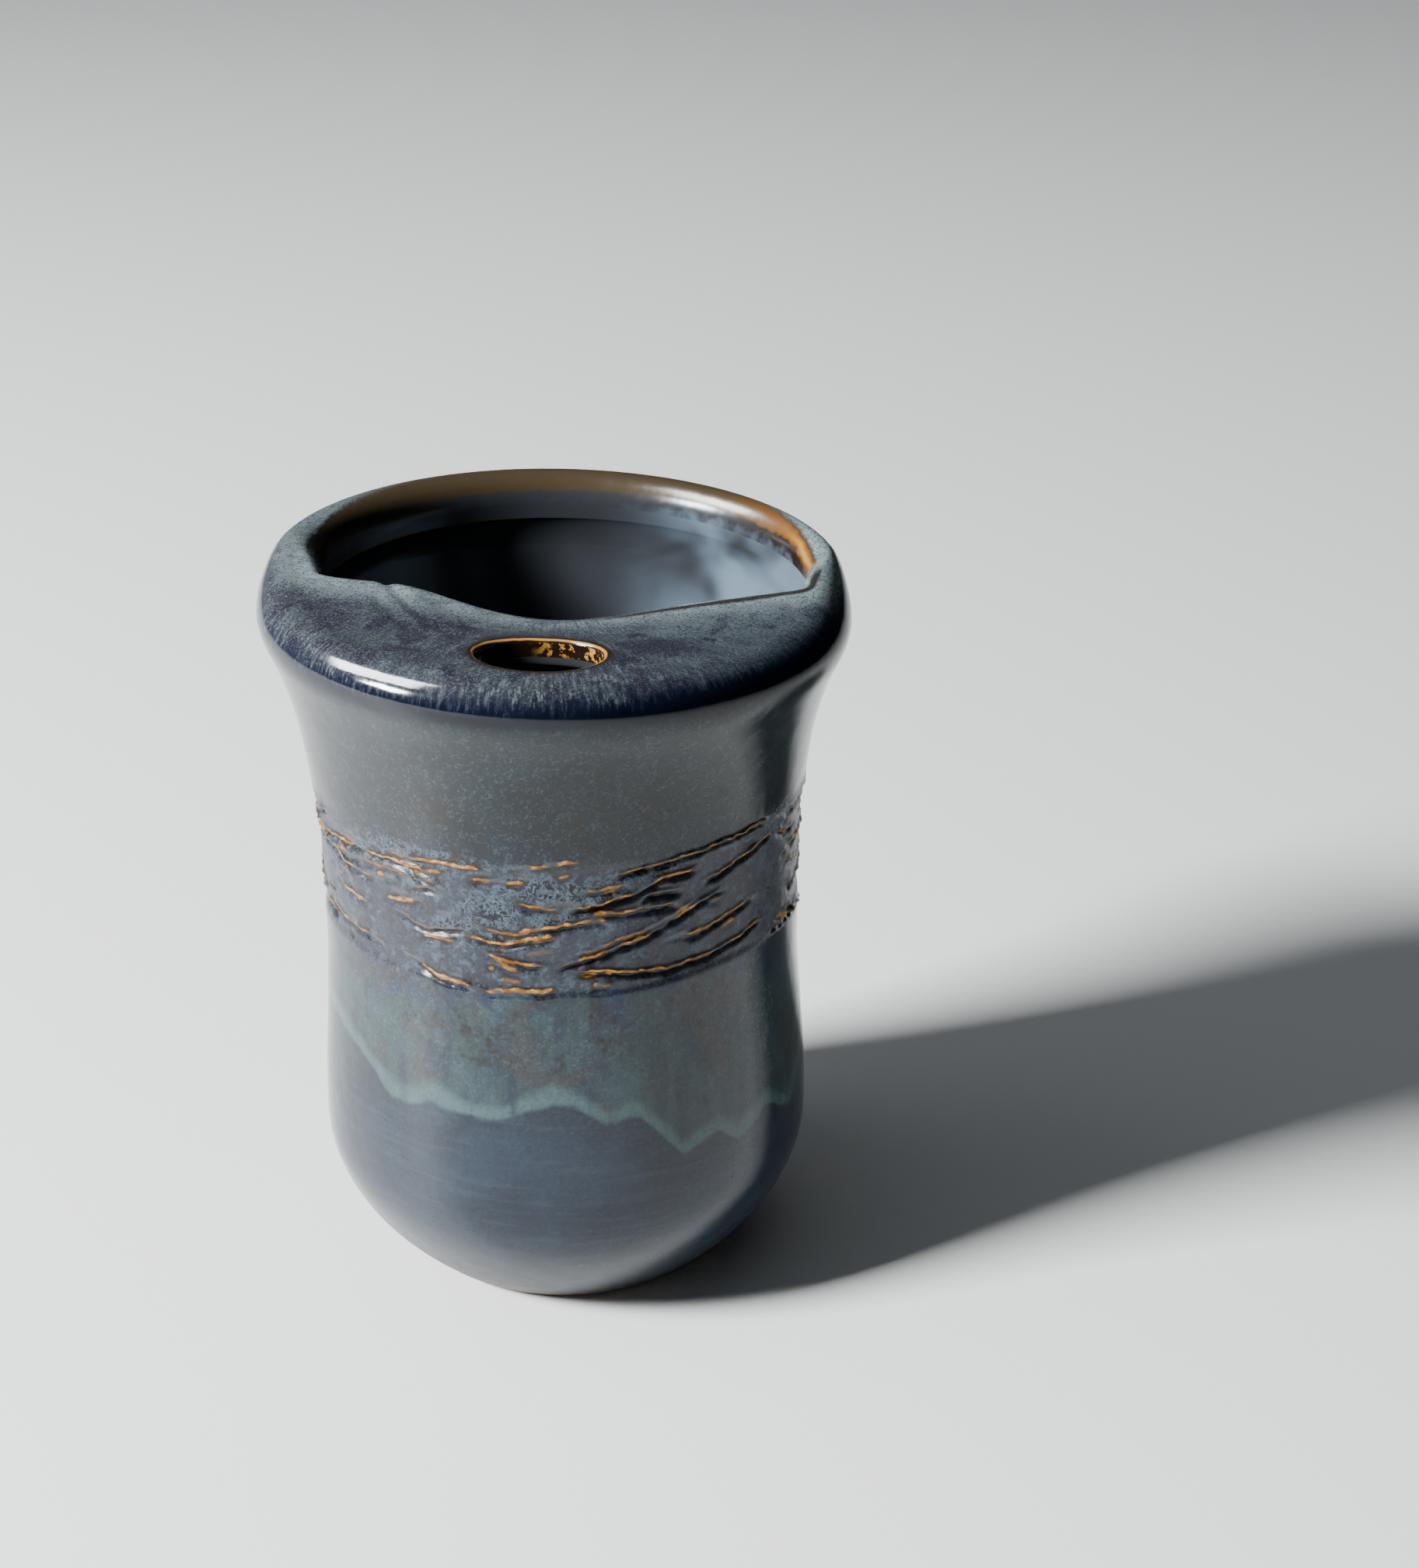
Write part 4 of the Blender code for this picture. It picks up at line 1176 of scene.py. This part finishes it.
def hole_colour(place, angle, colour):
    """The drinking hole: a brown halo, a gold line round its rim and gold sparks in its right side."""
    hole = mark(place, "from_hole") + noise(place, 1.6) * 0.24 - 0.12
    line = hump(hole, 0.36, 0.54, 0.66, 0.86)
    patches = between(noise(place, 0.8, 3.0, 0.7), 0.5, 0.58)
    sparks = patches * hump(hole, -1.7, -0.6, 0.2, 0.3) * between(angle, -0.12, 0.05)
    inputs = {"colour": colour, "fringe": between(hole, 1.9, 0.8), "burn": 0.6}
    inputs["edge"] = maths("MAXIMUM", line, sparks)
    return apply_group(place.tree, GROUPS["edge"], **inputs)["Colour"]


def milky_inside():
    """Group: nearly black blue glaze with milky clouds, thicker on the right and back: partly the glaze's own
    clouds, partly painted light where the window lights the inside wall, with painted shade on the left.
    """
    inlets = {"Place": "Vector", "Angle": "Float"}
    group, given, out = node_group("milky_inside", inlets, {"Colour": "Color"})
    clouds = noise(stretched(given["Place"], 0.6, 0.6, 1), 7.0, 2.0, 0.5, 0.25)
    # Milky clouds kept to the right and back: partly the glaze's own, partly painted light where the window
    # lights the inside wall; the left stays dark as painted shade
    thick = hump(given["Angle"], 0.6, 1.7, 2.3, 3.0) * 0.95 + 0.05
    milk = between(clouds, 0.25, 0.68) * thick
    feed(out["Colour"], mix(milk, INSIDE_DARK, INSIDE_MILKY))
    return group


def inner_glaze():
    """The glaze inside, as it begins under the lip."""
    material, tree, shader = new_material("inner_glaze", GLAZE_BENDING)
    where = apply_group(tree, GROUPS["places"])
    milk = apply_group(tree, GROUPS["milk"], place=where["Place"], angle=where["Angle"])
    feed(shader["Base Color"], milk["Colour"])
    feed(shader["Roughness"], noise(where["Place"], 1.5) * 0.15 + 0.08)
    return material


def bare_foot():
    """The unglazed foot ring: warm grey stoneware with iron specks."""
    material, tree, shader = new_material("bare_foot")
    place = apply_group(tree, GROUPS["places"])["Place"]
    grain = noise(place, 0.6, 4.0, 0.7)
    specks = between(noise(place, 0.9, 2.0, 0.6), 0.66, 0.74)
    colour = mix(between(grain, 0.35, 0.65), CLAY_BROWN, CLAY_PALE)
    feed(shader["Base Color"], mix(specks, colour, BROWN_GLAZE))
    feed(shader["Roughness"], grain * 0.2 + 0.65)
    feed(shader["Normal"], bumped(grain, 0.4, 0.1 * MM))
    return material


def pale_table():
    """A wide plain table top that runs out of sight."""
    material, _, shader = new_material("pale_table_top")
    feed(shader["Base Color"], TABLE_PALE)
    feed(shader["Roughness"], 0.5)
    mesh = bpy.data.meshes.new("pale_table")
    corners = [(x * TABLE_HALF, y * TABLE_HALF, 0) for x, y in ((-1, -1), (1, -1), (1, 1), (-1, 1))]
    mesh.from_pydata(corners, [], [(0, 1, 2, 3)])
    mesh.materials.append(material)
    return placed("pale_table", mesh)


def soft_light(name, place, aim, size, power, colour):
    """One large soft lamp turned to its aim, out of the camera's sight; gives the lamp's object."""
    lamp = bpy.data.lights.new(name, "AREA")
    lamp.shape = "RECTANGLE"
    lamp.size, lamp.size_y = size
    lamp.energy = power
    lamp.color = colour
    item = placed(name, lamp)
    item.location = place
    item.rotation_mode = "QUATERNION"
    item.rotation_quaternion = (Vector(aim) - Vector(place)).to_track_quat("-Z", "Y")
    item.visible_camera = False
    return item


def daylight():
    """A window to the left and in front, a lamp that only gleams, a pale ceiling and a dim room."""
    soft_light("low_window", (-0.79, -0.35, 0.59), (0, 0, 0.05), (0.24, 0.2), 50, (0.95, 0.98, 1.0))
    gleam = soft_light("gleam", (-0.67, 0.03, 0.86), (0, 0, 0.07), (0.5, 0.4), 62, (0.94, 0.97, 1.0))
    gleam.rotation_quaternion = gleam.rotation_quaternion @ Quaternion((0, 0, 1), GLEAM_ROLL)
    gleam.visible_diffuse = False
    soft_light("ceiling", (0.1, 0.3, 1.4), (0, 0, 0), (1.4, 1.4), 1.0, (0.93, 0.97, 1.0))
    world = bpy.data.worlds.new("dim_room")
    world.use_nodes = True
    tree = world.node_tree
    across = wire(tree, "SeparateXYZ", {0: wire(tree, "TexCoord", outlet=0)})
    pale = mix(between(across, 0.6, -0.7), ROOM_DARK, ROOM_PALE)
    feed(tree.nodes["Background"].inputs["Color"], pale)
    tree.nodes["Background"].inputs["Strength"].default_value = 0.3
    bpy.context.scene.world = world


def place_camera():
    """The camera stands where the photograph was taken from."""
    lens = bpy.data.cameras.new("photo_camera")
    lens.lens = CAMERA_LENS
    lens.sensor_fit = "VERTICAL"
    lens.sensor_height = 36
    lens.clip_start = 0.01
    camera = placed("photo_camera", lens)
    camera.location = CAMERA_PLACE
    camera.rotation_euler = (CAMERA_TILT, 0, 0)
    bpy.context.scene.camera = camera


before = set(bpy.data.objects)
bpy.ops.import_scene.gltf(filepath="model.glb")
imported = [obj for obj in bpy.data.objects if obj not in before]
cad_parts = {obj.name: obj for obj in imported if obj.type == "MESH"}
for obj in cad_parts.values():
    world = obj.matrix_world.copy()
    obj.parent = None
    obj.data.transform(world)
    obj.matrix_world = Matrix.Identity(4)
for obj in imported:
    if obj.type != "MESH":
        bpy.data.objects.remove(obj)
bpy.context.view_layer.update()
GROUPS = {"places": cup_places(), "flecks": crystal_flecks(), "edge": burnt_edge(), "milk": milky_inside(),
          "lip": lip_zones()}
cup = glazed_cup()
for finish in (outer_glaze(), inner_glaze(), bare_foot()):
    cup.data.materials.append(finish)
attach(cup, "root")
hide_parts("cup")
pale_table()
daylight()
place_camera()
